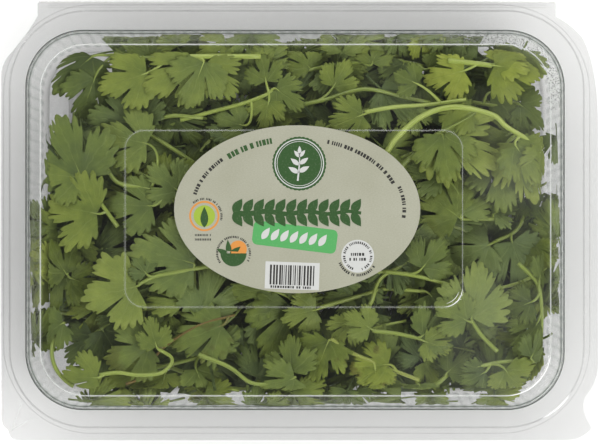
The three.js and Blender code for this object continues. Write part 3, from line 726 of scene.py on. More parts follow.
def tooth_outline(rng, steps):
    """Angles from the rib, in radians, and reaches, from the right of the foot round to its left."""
    cleft = rng.uniform(*CLEFT_SPREAD, 2)
    cut = rng.uniform(*CUT_SPREAD)
    angles, notches, teeth = [], [], [1.0]
    for side in (0, 1):
        reaches = np.array(NOTCH_REACHES) * rng.normal(1, NOTCH_SPREAD[0], len(NOTCH_REACHES))
        reaches[list(CUTS)] *= cut
        reaches[CLEFT:CLEFT + 2] = NOTCH_REACHES[CLEFT] * cleft[side]
        turns = np.array(NOTCH_ANGLES) + rng.normal(0, NOTCH_SPREAD[1], len(NOTCH_ANGLES))
        tips = np.array(TOOTH_REACHES) * rng.normal(1, TIP_SPREAD, len(TOOTH_REACHES))
        tips[CLEFT] = reaches[CLEFT]
        order = slice(None, None, -1 if side == 0 else 1)
        angles += list((turns if side else -turns)[order])
        notches += list(reaches[order])
        teeth = teeth + list(tips) if side else list(tips[::-1]) + teeth
    steps = np.array(steps)
    bulge = 1 - np.abs(2 * steps - 1) ** TOOTH_POWER
    turn, reach = [], []
    for k, tip in enumerate(teeth):
        base = notches[k] + (notches[k + 1] - notches[k]) * steps
        turn.append(angles[k] + (angles[k + 1] - angles[k]) * steps)
        reach.append(base + (tip - base) * bulge)
    turn = np.radians(np.append(np.concatenate(turn), angles[-1]))
    return turn, np.append(np.concatenate(reach), notches[-1])


for way, steps in (("fine", FINE_TOOTH), ("plain", PLAIN_TOOTH)):
    print(f"points on a {way} outline:", len(tooth_outline(np.random.default_rng(1), steps)[0]))


# %% [markdown]
# The blade is that outline filled towards the foot, bent by a formula: folded along its rib, drooped
# to its tip, each lobe a little cupped and its margin waved. Two such faces, a third of a millimetre
# apart, close on each other round the edge.

# %% The blade of a leaflet
LEAF_THICKNESS = 0.32
LOBE_SPREAD = math.radians(58)  # between the ribs of the lobes
FINE_ROWS = (0.15, 0.38, 0.62, 0.83, 1)
PLAIN_ROWS = (0.5, 1)
CUP = (-0.05, 0.06)  # how far a lobe's edges are bent down or up, as a share of the length
CREST = (0.015, 0.04)  # height of the waves of the margin
WAVES = (3, 6)  # of them to a radian


def blade(leaf, rng, fine=True):
    """A leaflet's skin in its own axes: along the rib, to its left, and up."""
    turn, reach = tooth_outline(rng, FINE_TOOTH if fine else PLAIN_TOOTH)
    rows = np.array(FINE_ROWS if fine else PLAIN_ROWS)
    size = leaf["length"]
    radius = rows[:, None] * reach
    u = radius * np.cos(turn) * size
    v = radius * np.sin(turn) * size * leaf["width"]
    lobe = np.abs((turn + LOBE_SPREAD / 2) % LOBE_SPREAD - LOBE_SPREAD / 2) / (LOBE_SPREAD / 2)
    cup = rng.uniform(*CUP) * size * radius * (lobe ** 2 - 0.4)
    crest = rng.uniform(*CREST) * size * radius ** 2
    wave = crest * np.sin(rng.uniform(*WAVES) * turn + rng.uniform(0, 6))
    w = (leaf["fold"] * v ** 2 - leaf["droop"] * u ** 2) / size + (cup + wave) * leaf["ease"]
    face = np.stack((u, v, w), axis=-1).reshape(-1, 3)
    face = np.vstack(((0, 0, 0), face))
    uv = np.stack((np.broadcast_to(turn / (2 * np.pi) + 0.5, radius.shape), radius * size / REACH_UNIT), -1)
    uv = np.vstack(((0.5, 0), uv.reshape(-1, 2)))
    count, under = len(turn), len(face)
    top = [(0, 1 + k, 2 + k) for k in range(count - 1)]
    for row in range(len(rows) - 1):
        first = 1 + row * count
        top += [(first + k, first + count + k, first + count + k + 1, first + k + 1)
                for k in range(count - 1)]
    outer = 1 + (len(rows) - 1) * count
    edge = [0] + [1 + row * count for row in range(len(rows) - 1)]
    edge += [outer + k for k in range(count)]
    edge += [count * (row + 1) for row in reversed(range(len(rows) - 1))]
    rim = [(under + a, under + b, b, a) for a, b in zip(edge, edge[1:] + edge[:1])]
    faces = top + [tuple(under + corner for corner in reversed(polygon)) for polygon in top] + rim
    half = np.array((0, 0, LEAF_THICKNESS / 2))
    flat = range(len(faces) - len(rim), len(faces))
    return skin(np.vstack((face + half, face - half)), faces, np.vstack((uv, uv)), flat)


# %% [markdown]
# ## A sprig in its place
#
# A leaflet is turned by its heading, pitch and roll, and stands on its stalk. Then stem, stalks and
# leaflets are bent to the heap together. How far the sprig was lowered is found from the solid: the
# corners of its coarse blades have twins in the frame, right above or below them.

# %% Turning a leaflet
COARSE_HALF = ((82, 0.5), (54, 0.84), (32, 0.4), (15, 0.86))  # angle and reach of the solid's corners
COARSE_THICKNESS = 0.6


def axes_of(leaf):
    """Rows: along the rib, to its left, and up, after roll, pitch and heading."""
    turned = []
    for angle, axis in ((leaf["heading"], 2), (-leaf["pitch"], 1), (leaf["roll"], 0)):
        c, s = math.cos(angle), math.sin(angle)
        one, other = (axis + 1) % 3, (axis + 2) % 3
        matrix = np.eye(3)
        matrix[one, one], matrix[one, other], matrix[other, one], matrix[other, other] = c, -s, s, c
        turned.append(matrix)
    return (turned[0] @ turned[1] @ turned[2]).T


def coarse_corners(leaf, axes):
    """The corners of the leaflet's solid in the frame, before it is laid."""
    corners = []
    for angle, share in (*COARSE_HALF, (0, 1), *[(-angle, share) for angle, share in COARSE_HALF]):
        u = math.cos(math.radians(angle)) * share * leaf["length"]
        v = math.sin(math.radians(angle)) * share * leaf["length"] * leaf["width"]
        w = (leaf["fold"] * v * v - leaf["droop"] * u * u) / leaf["length"]
        for face in (-COARSE_THICKNESS / 2, COARSE_THICKNESS / 2):
            corners.append(leaf["foot"] + np.array((u, v, w + face)) @ axes)
    return np.array(corners)


def drawn_leaves(draw, press, stem, slope, rows):
    """The leaflets of a sprig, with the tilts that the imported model's draws gave them."""
    start = np.array(stem[0])
    points = [(x, y, slope * math.dist(start, (x, y))) for x, y in stem]
    path = path_through(points)
    shares = [0.05, *[k / len(stem) for k in range(1, len(stem))], 0.95]
    joints = along_path(path, shares)
    leaves = []
    for x, y, heading, length in rows:
        leaf = {"length": length, "heading": math.radians(heading), "width": draw(0.74, 0.9),
                "pitch": draw(-0.35, 0.45) * press, "roll": draw(-0.5, 0.5) * press,
                "droop": draw(0.05, 0.3) * press, "fold": draw(-0.15, 0.4) * press}
        rise = draw(0, 5) * press
        foot = np.array((x, y, 0.0))
        root = root_of(foot, leaf["heading"], joints)
        foot[2] = root[2] + min(rise, math.dist(foot, root) / 2)
        leaf.update(foot=foot, root=root, ease=0.6 + press)
        leaves.append(leaf)
    return path, leaves


# %% [markdown]
# The stem tapers a little towards its last point. A stalk leaves it, bends into the leaflet's heading
# and runs on under the blade as its midrib, thinning out.

# %% Stems and stalks
STEM_RADII = (1.15, 0.95)  # of the stoutest; a sprig's girth is its share of these
STALK_RADII = (0.7, 0.55, 0.5, 0.42, 0.12)
STEM_SIDES, STALK_SIDES = 12, 8
STEM_EVERY = 4  # one in so many points of the curve carries a ring
STALK_STEPS = 12
STALK_BOW = 0.45  # how much of a stalk's reach lies in line with the rib
RIB_SHARE = 0.45  # how far the stalk runs on under the blade, as a share of the leaflet's length
TONE_SPREAD = 0.12  # between the leaflets of a sprig
BLOOM_SPREAD = (0.5, 1.3)


def stalk_path(leaf, axes):
    """From the root in the stem, through the foot, to a point on the leaflet's rib."""
    foot, root = leaf["foot"], leaf["root"]
    reach = np.linalg.norm(foot - root)
    back = foot - axes[0] * reach * STALK_BOW
    u = RIB_SHARE * leaf["length"]
    rib = foot + np.array((u, 0, -leaf["droop"] * u * u / leaf["length"] - LEAF_THICKNESS / 2)) @ axes
    shares = np.linspace(0, 1, STALK_STEPS)[:, None]
    return np.vstack((bow(root, back, foot, shares), (foot + rib) / 2, rib))


def sprig_skins(path, leaves, rng, tone, heap, heights_at):
    """The fine skins of a sprig, bent to the heap: its stem, and each leaflet with its stalk."""
    stem = settle(path[::STEM_EVERY].copy(), heap, heights_at)
    skins = [tube(stem, np.linspace(*STEM_RADII, len(stem)) * tone["girth"], STEM_SIDES, slot=1,
                  tone=tone["stem"], wither=tone["brown"])]
    for leaf in leaves:
        axes = axes_of(leaf)
        one = blade(leaf, rng)
        one["points"] = settle(leaf["foot"] + one["points"] @ axes, heap, heights_at)
        one["values"] = {"tone": tone["leaf"] + rng.uniform(-TONE_SPREAD, TONE_SPREAD),
                         "bloom": tone["bloom"] * rng.uniform(*BLOOM_SPREAD), "wither": tone["spoiled"]}
        stalk = settle(stalk_path(leaf, axes), heap, heights_at)
        radii = np.interp(np.linspace(0, 1, len(stalk)), np.linspace(0, 1, len(STALK_RADII)), STALK_RADII)
        skins += [one, tube(stalk, radii, STALK_SIDES, slot=1, tone=tone["stem"],
                            wither=tone["brown"] / 2)]
    return skins


# %% [markdown]
# Each sprig has its own green, with light and shade painted in by depth: the ones pressed against the lid
# are painted palest, and what lies deeper is painted darker. A few were noted one by one: bright young
# tips, bluish old leaves, and a brown stem.

# %% Tones of the sprigs
PLAIN_TONE = {"leaf": 0.5, "bloom": 0.2, "stem": 0.5, "brown": 0.0, "spoiled": 0.0, "girth": 0.75}
TONES = {
    "back_left_bright": {"leaf": 0.62, "bloom": 0.3, "stem": 0.75, "girth": 1.0},
    "back_left_cut": {"leaf": 0.55, "stem": 0.65},
    "back_left_corner": {"leaf": 0.38, "bloom": 0.3},
    "left_hollow": {"leaf": 0.3, "bloom": 0.35},
    "arch": {"leaf": 0.6, "stem": 0.75, "girth": 1.0},
    "back_stems_right": {"stem": 0.75},
    "back_right_corner": {"leaf": 0.72, "bloom": 0.0, "stem": 0.7, "girth": 1.0},
    "under_arch": {"leaf": 0.6, "bloom": 0.4, "stem": 0.45},
    "left_big": {"bloom": 0.3},
    "left_wall": {"bloom": 0.0},
    "front_left_pale": {"leaf": 0.54, "bloom": 0.5},
    "front_left_low": {"leaf": 0.55, "bloom": 0.1},
    "left_middle": {"leaf": 0.52, "bloom": 0.3},
    "front_brown": {"leaf": 0.42, "stem": 0.3, "brown": 0.7, "spoiled": 0.3, "girth": 0.5},
    "front_loop": {"leaf": 0.55, "stem": 0.6, "girth": 0.7},
    "bundle_front": {"leaf": 0.55, "stem": 0.7},
    "bundle_cross": {"leaf": 0.6, "stem": 0.65},
    "bundle_back": {"stem": 0.6},
    "right_big": {"leaf": 0.62, "bloom": 0.35},
    "right_middle": {"leaf": 0.64, "bloom": 0.45},
    "right_middle_low": {"leaf": 0.63, "bloom": 0.5},
    "right_folded": {"leaf": 0.64, "bloom": 0.35},
    "front_right_dark": {"leaf": 0.35},
    "front_left_dark": {"leaf": 0.3},
    "front_right": {"leaf": 0.58, "bloom": 0.0, "stem": 0.65, "brown": 0.2, "spoiled": 0.6},
}


# %% Laying the sprigs again
LEAF_SEED = 7
CLOSE = 0.05  # mm between twins in plan


def gaps_to(points, solid):
    """How far above these points their twins in the solid lie."""
    return np.concatenate([solid[np.hypot(solid[:, 0] - x, solid[:, 1] - y) < CLOSE, 2] - z
                           for x, y, z in points])


def lay(name, sprig, heap, tone, rng):
    """Make the piece that replaces a sprig's node, where the node lies, with the leaflets that it has."""
    node = frame["nodes"][name]
    solid = np.array([vertex.co for vertex in node.data.vertices]) / MM
    field = evened_out(heap["heights"])
    path, leaves = sprig
    corners = [settle(coarse_corners(leaf, axes_of(leaf)), heap, lambda x, y: field[cells_of(x, y)[::-1]])
               for leaf in leaves]
    gaps = [gaps_to(one, solid) for one in corners]
    fall = float(np.median(np.concatenate(gaps)))
    leaves = [leaf for leaf, found in zip(leaves, gaps) if len(found)]
    skins = sprig_skins(path, leaves, rng, tone, heap, lambda x, y: field_at(field, x, y))
    for one in skins:
        one["points"][:, 2] += fall
    piece = make_piece(name + "_fine", skins, (leaf_paint, stem_paint), ("tone", "bloom", "wither"))
    raise_heap(heap, solid[[polygon.vertices[:] for polygon in node.data.polygons]])
    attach(piece, "tray")
    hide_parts(name)
    print(f"{piece.name}: {len(leaves)} leaflets, moved {fall:.2f} mm")
    return piece


leaf_rng = np.random.default_rng(LEAF_SEED)
draw = Draws(TOP_SEED)
sprig_pieces = []
for name, (press, stem, rows) in reversed(TOP_SPRIGS.items()):
    sprig = drawn_leaves(draw, press, stem, 0, rows)
    tone = PLAIN_TONE | TONES.get(name, {})
    sprig_pieces.append(lay("sprig_" + name, sprig, under_lid, tone, leaf_rng))

draw = Draws(LOWER_SEED)
for number, row in enumerate(LOWER_PLACES, 1):
    press, stem, rows, slope = lower_sprig(draw, *row)
    sprig = drawn_leaves(draw, press, stem, slope, rows)
    # The lower sprigs get a darker green: painted shade, deep in the heap.
    tone = PLAIN_TONE | {"leaf": 0.3, "stem": 0.35, "girth": 0.9}
    sprig_pieces.append(lay(f"sprig_lower_{number}", sprig, on_floor, tone, leaf_rng))
print("sprigs:", len(sprig_pieces), "with", sum(map(triangles, sprig_pieces)), "triangles")

# %% [markdown]
# ## The loose leaves between
#
# Between the two heaps the box is full of more of the same: some hundreds of leaflets and short
# lengths of stem, in no order. Placing each by hand would be slow, and physics would be slower, so
# Geometry Nodes scatter a few shapes over the plan of the heap. The tree works in a flat slab. After
# that the slab is bent into the room between the heaps, so what lies there is pressed like the rest.

# %% The plans
# Each is a list of outlines, anticlockwise. The heap stays clear of the corners and edges where the
# floor shows through the box. Along parts of the walls, some leaflets stand pressed to the plastic.
HEAP_PLAN = [((-62, 64), (-66, 48), (-73, 35), (-90, 22), (-97, 6), (-98, -26), (-88, -36), (-78, -46),
              (-74, -57), (-62, -64), (-40, -66), (10, -66), (36, -59), (62, -59), (76, -64), (86, -58),
              (92, -42), (92, -10), (84, 6), (80, 26), (79, 44), (75, 58), (66, 66), (-40, 66))]
WALL_STRIPS = [(-66, -36, 66, 73), (-34, -8, 65, 68.5), (0, 22, 66, 73), (27, 35, 65, 68), (39, 66, 66, 73),
               (82, 88, 58, 64), (-105, -98, -30, 7), (-105, -98, -46, -40), (-77, -56, -72, -66),
               (-39, -30, -72, -66), (-15, 33, -72, -66), (36, 40, -70, -66), (48, 53, -72, -66),
               (69, 82, -69, -64), (94, 100, 20, 30), (94, 101, -1, 9), (93, 98, -19, -9),
               (96, 101, -31, -26)]  # least and greatest x, y
WALL_PLAN = [((x0, y0), (x1, y0), (x1, y1), (x0, y1)) for x0, x1, y0, y1 in WALL_STRIPS]
SLAB = 42.0  # thickness of the slab that the tree fills


def plan_mesh(name, outlines):
    """A flat mesh with a face for each outline."""
    mesh = bpy.data.meshes.new(name)
    starts = np.cumsum([0] + [len(outline) for outline in outlines])
    points = [(x * MM, y * MM, 0) for outline in outlines for x, y in outline]
    mesh.from_pydata(points, [], [tuple(range(a, b)) for a, b in zip(starts, starts[1:])])
    return mesh


heap_plan = plan_mesh("plan of the heap", HEAP_PLAN)
wall_plan = plan_mesh("plan along the walls", WALL_PLAN)
print(len(WALL_PLAN), "strips along the walls")

# %% The tree that scatters
SCATTER_SIZES = ("Spacing", "Density", "Lowest", "Highest", "Turn", "Tilt", "Smallest", "Largest",
                 "Darkest", "Palest")
SCATTER_INPUTS = {"Shapes": "Collection", **dict.fromkeys(SCATTER_SIZES, "Float"), "Seed": "Int",
                  "Paint": "Material"}
MOST_BLOOM = 0.5
MOST_PICKS = 99  # more than there are shapes: past the last shape, picking starts again

scatter = bpy.data.node_groups.new("scatter in a slab", "GeometryNodeTree")
for way in ("INPUT", "OUTPUT"):
    scatter.interface.new_socket("Geometry", in_out=way, socket_type="NodeSocketGeometry")
scatter_keys = {}
for name, kind in SCATTER_INPUTS.items():
    socket = scatter.interface.new_socket(name, in_out="INPUT", socket_type="NodeSocket" + kind)
    scatter_keys[name] = socket.identifier


def drawn(least, greatest, seed_step, kind="FLOAT"):
    """A random value for each point, on a seed of its own."""
    seed = add_node(scatter, "ShaderNodeMath", [given["Seed"], seed_step], operation="ADD")
    first, result = {"FLOAT": (2, 1), "INT": (4, 2)}[kind]
    made = add_node(scatter, "FunctionNodeRandomValue", {first: least, first + 1: greatest, "Seed": seed},
                    data_type=kind)
    return made.outputs[result]


given = add_node(scatter, "NodeGroupInput").outputs
spots = add_node(scatter, "GeometryNodeDistributePointsOnFaces", {
    "Mesh": given["Geometry"], "Distance Min": given["Spacing"], "Density Max": given["Density"],
    "Seed": given["Seed"]}, distribute_method="POISSON")
lift = add_node(scatter, "ShaderNodeCombineXYZ", {"Z": drawn(given["Lowest"], given["Highest"], 1)})
lifted = add_node(scatter, "GeometryNodeSetPosition", {0: spots, "Offset": lift})
angles = []
for name, seed_step in (("Tilt", 2), ("Tilt", 3), ("Turn", 4)):
    other_way = add_node(scatter, "ShaderNodeMath", [given[name], -1.0], operation="MULTIPLY")
    angles.append(drawn(other_way, given[name], seed_step))
angles = add_node(scatter, "ShaderNodeCombineXYZ", angles)
turned = add_node(scatter, "FunctionNodeEulerToRotation", [angles])
shapes = add_node(scatter, "GeometryNodeCollectionInfo", {"Collection": given["Shapes"],
                  "Separate Children": True, "Reset Children": True})
placed = add_node(scatter, "GeometryNodeInstanceOnPoints", {
    "Points": lifted, "Instance": shapes, "Pick Instance": True,
    "Instance Index": drawn(0, MOST_PICKS, 5, "INT"), "Rotation": turned,
    "Scale": drawn(given["Smallest"], given["Largest"], 6)})
toned = placed
for name, value in (("tone", drawn(given["Darkest"], given["Palest"], 7)),
                    ("bloom", drawn(0.0, MOST_BLOOM, 8))):
    toned = add_node(scatter, "GeometryNodeStoreNamedAttribute", {
        "Geometry": toned, "Name": name, "Value": value}, data_type="FLOAT", domain="INSTANCE")
real = add_node(scatter, "GeometryNodeRealizeInstances", [toned])
painted = add_node(scatter, "GeometryNodeSetMaterial", {0: real, "Material": given["Paint"]})
add_node(scatter, "NodeGroupOutput", [painted])
print("scatter nodes:", len(scatter.nodes))

# %% The shapes that are scattered
LEAF_SHAPES = 14
STEM_SHAPES = 6
SHAPE_LENGTH = 20  # mm, at a scale of 1
SHAPE_STEM = (34, 62)
SHAPE_MIDDLE = 0.45  # where a leaflet's middle is, as a share of its length
LOOSE_STALK_RADII = (0.65, 0.45)
LOOSE_STEM_RADII = (1.15, 0.85)
SHAPE_SEED = 11


def shape_collection(name, skin_lists):
    """A collection that holds an object for each list of skins."""
    collection = bpy.data.collections.new(name)
    for k, skins in enumerate(skin_lists):
        shape = make_piece(f"{name}_{k}", skins, (leaf_paint,))
        scene.collection.objects.unlink(shape)
        collection.objects.link(shape)
    return collection


def loose_leaf(rng):
    """A leaflet and its stalk, with the middle of the blade at the origin."""
    leaf = {"length": SHAPE_LENGTH, "width": rng.uniform(0.75, 0.95), "droop": rng.uniform(-0.1, 0.3),
            "fold": rng.uniform(-0.2, 0.5), "ease": 1.6}
    one = blade(leaf, rng, fine=False)
    sway = rng.uniform(-5, 5)
    stalk = path_through([(-rng.uniform(8, 16), sway, -2), (-5, sway * 0.4, -0.5), (0.4, 0, 0)])[::8]
    two = tube(stalk, np.linspace(*LOOSE_STALK_RADII, len(stalk)), 5)
    two["uv"] = two["uv"] * 0 + (0.5, 0.0)  # the foot on the map, where no vein has begun
    for part in (one, two):
        part["points"] = part["points"] - (SHAPE_LENGTH * SHAPE_MIDDLE, 0, 0)
    return [one, two]


def loose_stem(rng):
    """A bowed length of stem about the origin."""
    half = rng.uniform(*SHAPE_STEM) / 2
    bows = rng.uniform(-6, 6, 2)
    path = path_through([(-half, bows[0], 0), (-half / 3, 0, 0), (half / 3, 0, 0), (half, bows[1], 0)])[::6]
    return [tube(path, np.linspace(*LOOSE_STEM_RADII, len(path)), 8)]


shape_rng = np.random.default_rng(SHAPE_SEED)
leaf_shapes = shape_collection("loose_leaf", [loose_leaf(shape_rng) for _ in range(LEAF_SHAPES)])
stem_shapes = shape_collection("loose_stem", [loose_stem(shape_rng) for _ in range(STEM_SHAPES)])

# %% Bend the slab into the room between the heaps
CLEARANCE = 1.2
SLOPE_CLEARANCE = 1.6  # under the slanted wall of the lid
LEAST_SHARE = -0.05  # ends of stalks may hang a little below the slab
room_floor = evened_out(on_floor["heights"])
room_roof = -evened_out(under_lid["heights"])
print(f"room between the heaps: {np.mean(room_roof - room_floor):.1f} mm high on average")


def depth_within(rectangle, x, y):
    """How far points lie within a rounded rectangle."""
    x0, x1, y0, y1, radius = rectangle
    away = x - np.clip(x, x0 + radius, x1 - radius), y - np.clip(y, y0 + radius, y1 - radius)
    return radius - np.hypot(*away)


def lid_slope(x, y):
    """The height of the lid's slanted wall over points, and of its top further in."""
    from_mouth, from_edge = depth_within(MOUTH, x, y), depth_within(DOME_EDGE, x, y)
    share = np.clip(from_mouth / np.maximum(from_mouth - from_edge, 1e-6), 0, 1)
    return TRAY_HEIGHT + (LID_TOP - TRAY_HEIGHT) * share


def scattered(name, plan, gap=WALL_GAP, bend=BEND, **inputs):
    """A loose piece: the tree's result as a plain mesh, bent between the heaps and clear of the walls."""
    holder = bpy.data.objects.new(name, plan.copy())
    scene.collection.objects.link(holder)
    modifier = holder.modifiers.new("scatter", "NODES")
    modifier.node_group = scatter
    for key, value in inputs.items():
        modifier[scatter_keys[key.capitalize()]] = value
    evaluated = holder.evaluated_get(bpy.context.evaluated_depsgraph_get())
    mesh = bpy.data.meshes.new_from_object(evaluated)
    holder.modifiers.remove(modifier)
    bpy.data.objects.remove(holder)
    points = np.empty(len(mesh.vertices) * 3)
    mesh.vertices.foreach_get("co", points)
    points = points.reshape(-1, 3) / MM
    share = np.clip(points[:, 2] / SLAB, LEAST_SHARE, 1)
    low = field_at(room_floor, points[:, 0], points[:, 1]) + CLEARANCE
    high = field_at(room_roof, points[:, 0], points[:, 1]) - CLEARANCE
    high = np.minimum(high, lid_slope(points[:, 0], points[:, 1]) - SLOPE_CLEARANCE)
    points[:, 2] = low + (high - low) * share
    mesh.vertices.foreach_set("co", (keep_inside(points, gap, bend) * MM).ravel())
    mesh.name = name
    piece = bpy.data.objects.new(name, mesh)
    scene.collection.objects.link(piece)
    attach(piece, "tray")
    print(f"{name}: {triangles(piece)} triangles")
    return piece


# %% The loose leaves and stems
# density is the most shapes on a square metre, before those nearer than the spacing are left out.
# Lower loose leaves and stems get darker tones, the leaves at the walls paler ones: painted shade and
# painted light by depth.
scattered("loose_leaves_upper", heap_plan, shapes=leaf_shapes, spacing=9.5 * MM, density=2e4,
          lowest=23 * MM, highest=40 * MM, turn=math.pi, tilt=0.5, smallest=0.5, largest=1.0,
          darkest=0.29, palest=0.64, seed=3, paint=leaf_paint)
scattered("loose_leaves_lower", heap_plan, shapes=leaf_shapes, spacing=9 * MM, density=2e4, lowest=1 * MM,
          highest=23 * MM, turn=math.pi, tilt=0.4, smallest=0.9, largest=1.3, darkest=0.1, palest=0.36,
          seed=4, paint=leaf_paint)
scattered("leaves_at_walls", wall_plan, gap=0, bend=1, shapes=leaf_shapes, spacing=3.2 * MM, density=6e4,
          lowest=30 * MM, highest=41 * MM, turn=math.pi, tilt=0.2, smallest=0.45, largest=0.8,
          darkest=0.4, palest=0.75, seed=8, paint=leaf_paint)
scattered("loose_stems_upper", heap_plan, shapes=stem_shapes, spacing=21 * MM, density=2e4, lowest=19 * MM,
          highest=40 * MM, turn=0.7, tilt=0.15, smallest=0.5, largest=0.8, darkest=0.3, palest=0.65,
          seed=5, paint=stem_paint)
scattered("loose_stems_lower", heap_plan, shapes=stem_shapes, spacing=24 * MM, density=2e4, lowest=2 * MM,
          highest=19 * MM, turn=0.9, tilt=0.2, smallest=0.8, largest=1.1, darkest=0.1, palest=0.4,
          seed=6, paint=stem_paint)
for collection in (leaf_shapes, stem_shapes):
    for shape in list(collection.objects):
        bpy.data.objects.remove(shape)
    bpy.data.collections.remove(collection)

# %% [markdown]
# ## The clear box
#
# The box is thermoformed from a sheet of clear PET, 0.35 mm thick: warmed, drawn over a mould and
# trimmed. Hence its round edges, its sloping walls and the flutes that stiffen them. Tray and lid
# could be boxes with Bevel and Solidify, but flutes that follow the round corners are easier as
# rings: one ring of points goes round the box at each height, and the skin runs from ring to ring.

# %% Clear plastic
# Clear PET reflects at its faces and lets nearly all else through. A real glass shader would bend the
# light, which shows little in a sheet this thin and is noisy, so it is a transparent shader under a
# glossy one. How much is mirrored follows Schlick's formula, the same from both sides of a face: the
# Fresnel node takes the inside of a sheet for solid glass, and would make slanted sheets full mirrors.
# It stops at a low share, as fluted and scuffed walls mirror little as a whole.
# Seen along the sheet the light's way is long, and the plastic looks darker and greenish.
PET_MIRROR = 0.035  # share of the light that a face of PET reflects when seen straight on
MOST_MIRROR = 0.04
PET_SCUFF = 0.16  # roughness of the mirrored light
SHEET_EDGE = 10.0  # the higher, the nearer to edge-on the sheet must be seen to look dark
PET_RELIEF = {  # swings to a millimetre, detail and height
    "warp": (0.02, 1.0, 3.0),  # 50 mm each: the sheet isn't quite flat
    "orange peel": (0.15, 2.0, 0.06),  # 7 mm
}

clear_pet, tree = new_material("clear thermoformed PET")
place = add_node(tree, "ShaderNodeTexCoord").outputs["Object"]
relief = []
for count, detail, height in PET_RELIEF.values():
    swell = add_node(tree, "ShaderNodeTexNoise", {"Vector": place, "Scale": count / MM, "Detail": detail})
    relief.append(add_node(tree, "ShaderNodeMath", [swell, height], operation="MULTIPLY"))
relief = add_node(tree, "ShaderNodeMath", relief, operation="ADD")
bump = add_node(tree, "ShaderNodeBump", {"Height": relief, "Strength": 0.3, "Distance": 1.0 * MM})
slant = add_node(tree, "ShaderNodeLayerWeight", {"Blend": 0.5, "Normal": bump}).outputs["Facing"]
edge_on = add_node(tree, "ShaderNodeMath", [slant, SHEET_EDGE], operation="POWER")
tint = add_node(tree, "ShaderNodeMix", {0: edge_on, 6: linear("#f9f9f9"), 7: linear("#7b877d")},
                data_type="RGBA")
clear = add_node(tree, "ShaderNodeBsdfTransparent", {"Color": tint.outputs[2]})
shine = add_node(tree, "ShaderNodeBsdfAnisotropic", {"Color": linear("#e6e6e6"), "Roughness": PET_SCUFF,
                 "Normal": bump})
mirror = add_node(tree, "ShaderNodeMath", [slant, 5.0], operation="POWER")
mirror = add_node(tree, "ShaderNodeMath", [mirror, 1 - PET_MIRROR, PET_MIRROR],
                  operation="MULTIPLY_ADD")
mirror = add_node(tree, "ShaderNodeMath", [mirror, MOST_MIRROR], operation="MINIMUM")
sheet = add_node(tree, "ShaderNodeMixShader", [mirror, clear, shine])
print("sheet nodes:", len(tree.nodes))

# %% Mist on the lid
# A breath of mist has settled on the lid's flat top in soft patches, most of it at the right.
MOST_MIST = 0.018  # share of a face that is white
LEAST_MIST = 0.1  # of the most, at the left
MIST_FLOOR = 46  # mm, the height above which mist lies
MIST_SPREAD = (25, 85)  # mm along X, from the least to the most
PATCHES = 0.025  # to a millimetre, so 40 mm each
PATCH_EDGE = (0.38, 0.62)  # values of a noise, from bare to full

across, _, above = add_node(tree, "ShaderNodeSeparateXYZ", [place]).outputs
spread = add_node(tree, "ShaderNodeMapRange", {"Value": across, "From Min": MIST_SPREAD[0] * MM,
                  "From Max": MIST_SPREAD[1] * MM, "To Min": LEAST_MIST, "To Max": 1.0})
patches = add_node(tree, "ShaderNodeTexNoise", {"Vector": place, "Scale": PATCHES / MM, "Detail": 2.0})
share = add_node(tree, "ShaderNodeMapRange", {"Value": patches, "From Min": PATCH_EDGE[0],
                 "From Max": PATCH_EDGE[1]})
for factor in (spread, MOST_MIST):
    share = add_node(tree, "ShaderNodeMath", [share, factor], operation="MULTIPLY")
on_top = add_node(tree, "ShaderNodeMath", [above, MIST_FLOOR * MM], operation="GREATER_THAN")
share = add_node(tree, "ShaderNodeMath", [on_top, share], operation="MULTIPLY")
mist = add_node(tree, "ShaderNodeBsdfDiffuse", {"Color": linear("#f4f6f4")})
misted = add_node(tree, "ShaderNodeMixShader", [share, sheet, mist])
add_node(tree, "ShaderNodeOutputMaterial", {"Surface": misted})
print("sheet nodes with the mist:", len(tree.nodes))

# %% Simpler clear stuff
PLAIN_SHINE = 0.08  # share of the light that such a face mirrors


def plain_clear(name, tint, body, share, roughness):
    """Clear stuff in a simpler form: its tint, and a share of a matt body and of a sharp shine."""
    material, tree = new_material(name)
    through = add_node(tree, "ShaderNodeBsdfTransparent", {"Color": linear(tint)})
    matt = add_node(tree, "ShaderNodeBsdfDiffuse", {"Color": linear(body)})
    gloss = add_node(tree, "ShaderNodeBsdfAnisotropic", {"Color": linear("#ffffff"),
                     "Roughness": roughness})
    stuff = add_node(tree, "ShaderNodeMixShader", [share, through, matt])
    stuff = add_node(tree, "ShaderNodeMixShader", [PLAIN_SHINE, stuff, gloss])
    add_node(tree, "ShaderNodeOutputMaterial", {"Surface": stuff})
    return material


# White lines are painted on the bends that mirror the tent: painted highlights. Where the sheet turns
# down and is seen along itself, it looks bottle green, and the dark line there is also a painted
# refraction of the leaves behind it. Pure white serves painted glints, and creases and dots of the
# mould. A faint grey line at the panel's soft bend is a painted highlight. Some water has settled on
# the inside of the lid.
PLAIN_STUFF = {  # name: tint, body, share of the body, roughness of the shine
    "PET bend with a painted highlight": ("#f4f6f4", "#f6f7f5", 0.3, 0.3),
    "PET seen along the sheet, with painted refraction": ("#8b998c", "#8c9f8e", 0.25, 0.2),
    "PET crazed white, and painted glints": ("#ffffff", "#ffffff", 0.8, 0.2),
    "condensed water": ("#c6cac3", "#d8dcd6", 0.2, 0.25),
    "PET soft bend with a faint painted highlight": ("#eef0ee", "#aeb2aa", 0.8, 0.5),
}
clear_stuff = [clear_pet, *[plain_clear(name, *looks) for name, looks in PLAIN_STUFF.items()]]
PAINTED_HIGHLIGHT_BEND, EDGE_TINT_AND_REFRACTION, CREASE_WHITE_AND_GLINT, WATER, SOFT_BEND = range(1, 6)  # slots, after the clear sheet's
print("clear stuff:", [stuff.name for stuff in clear_stuff])

# %% Rings round the box
RING_STEP = 0.55  # mm between points along the mouth
SHEET = 0.35
FLUTE_PITCH = 4.2


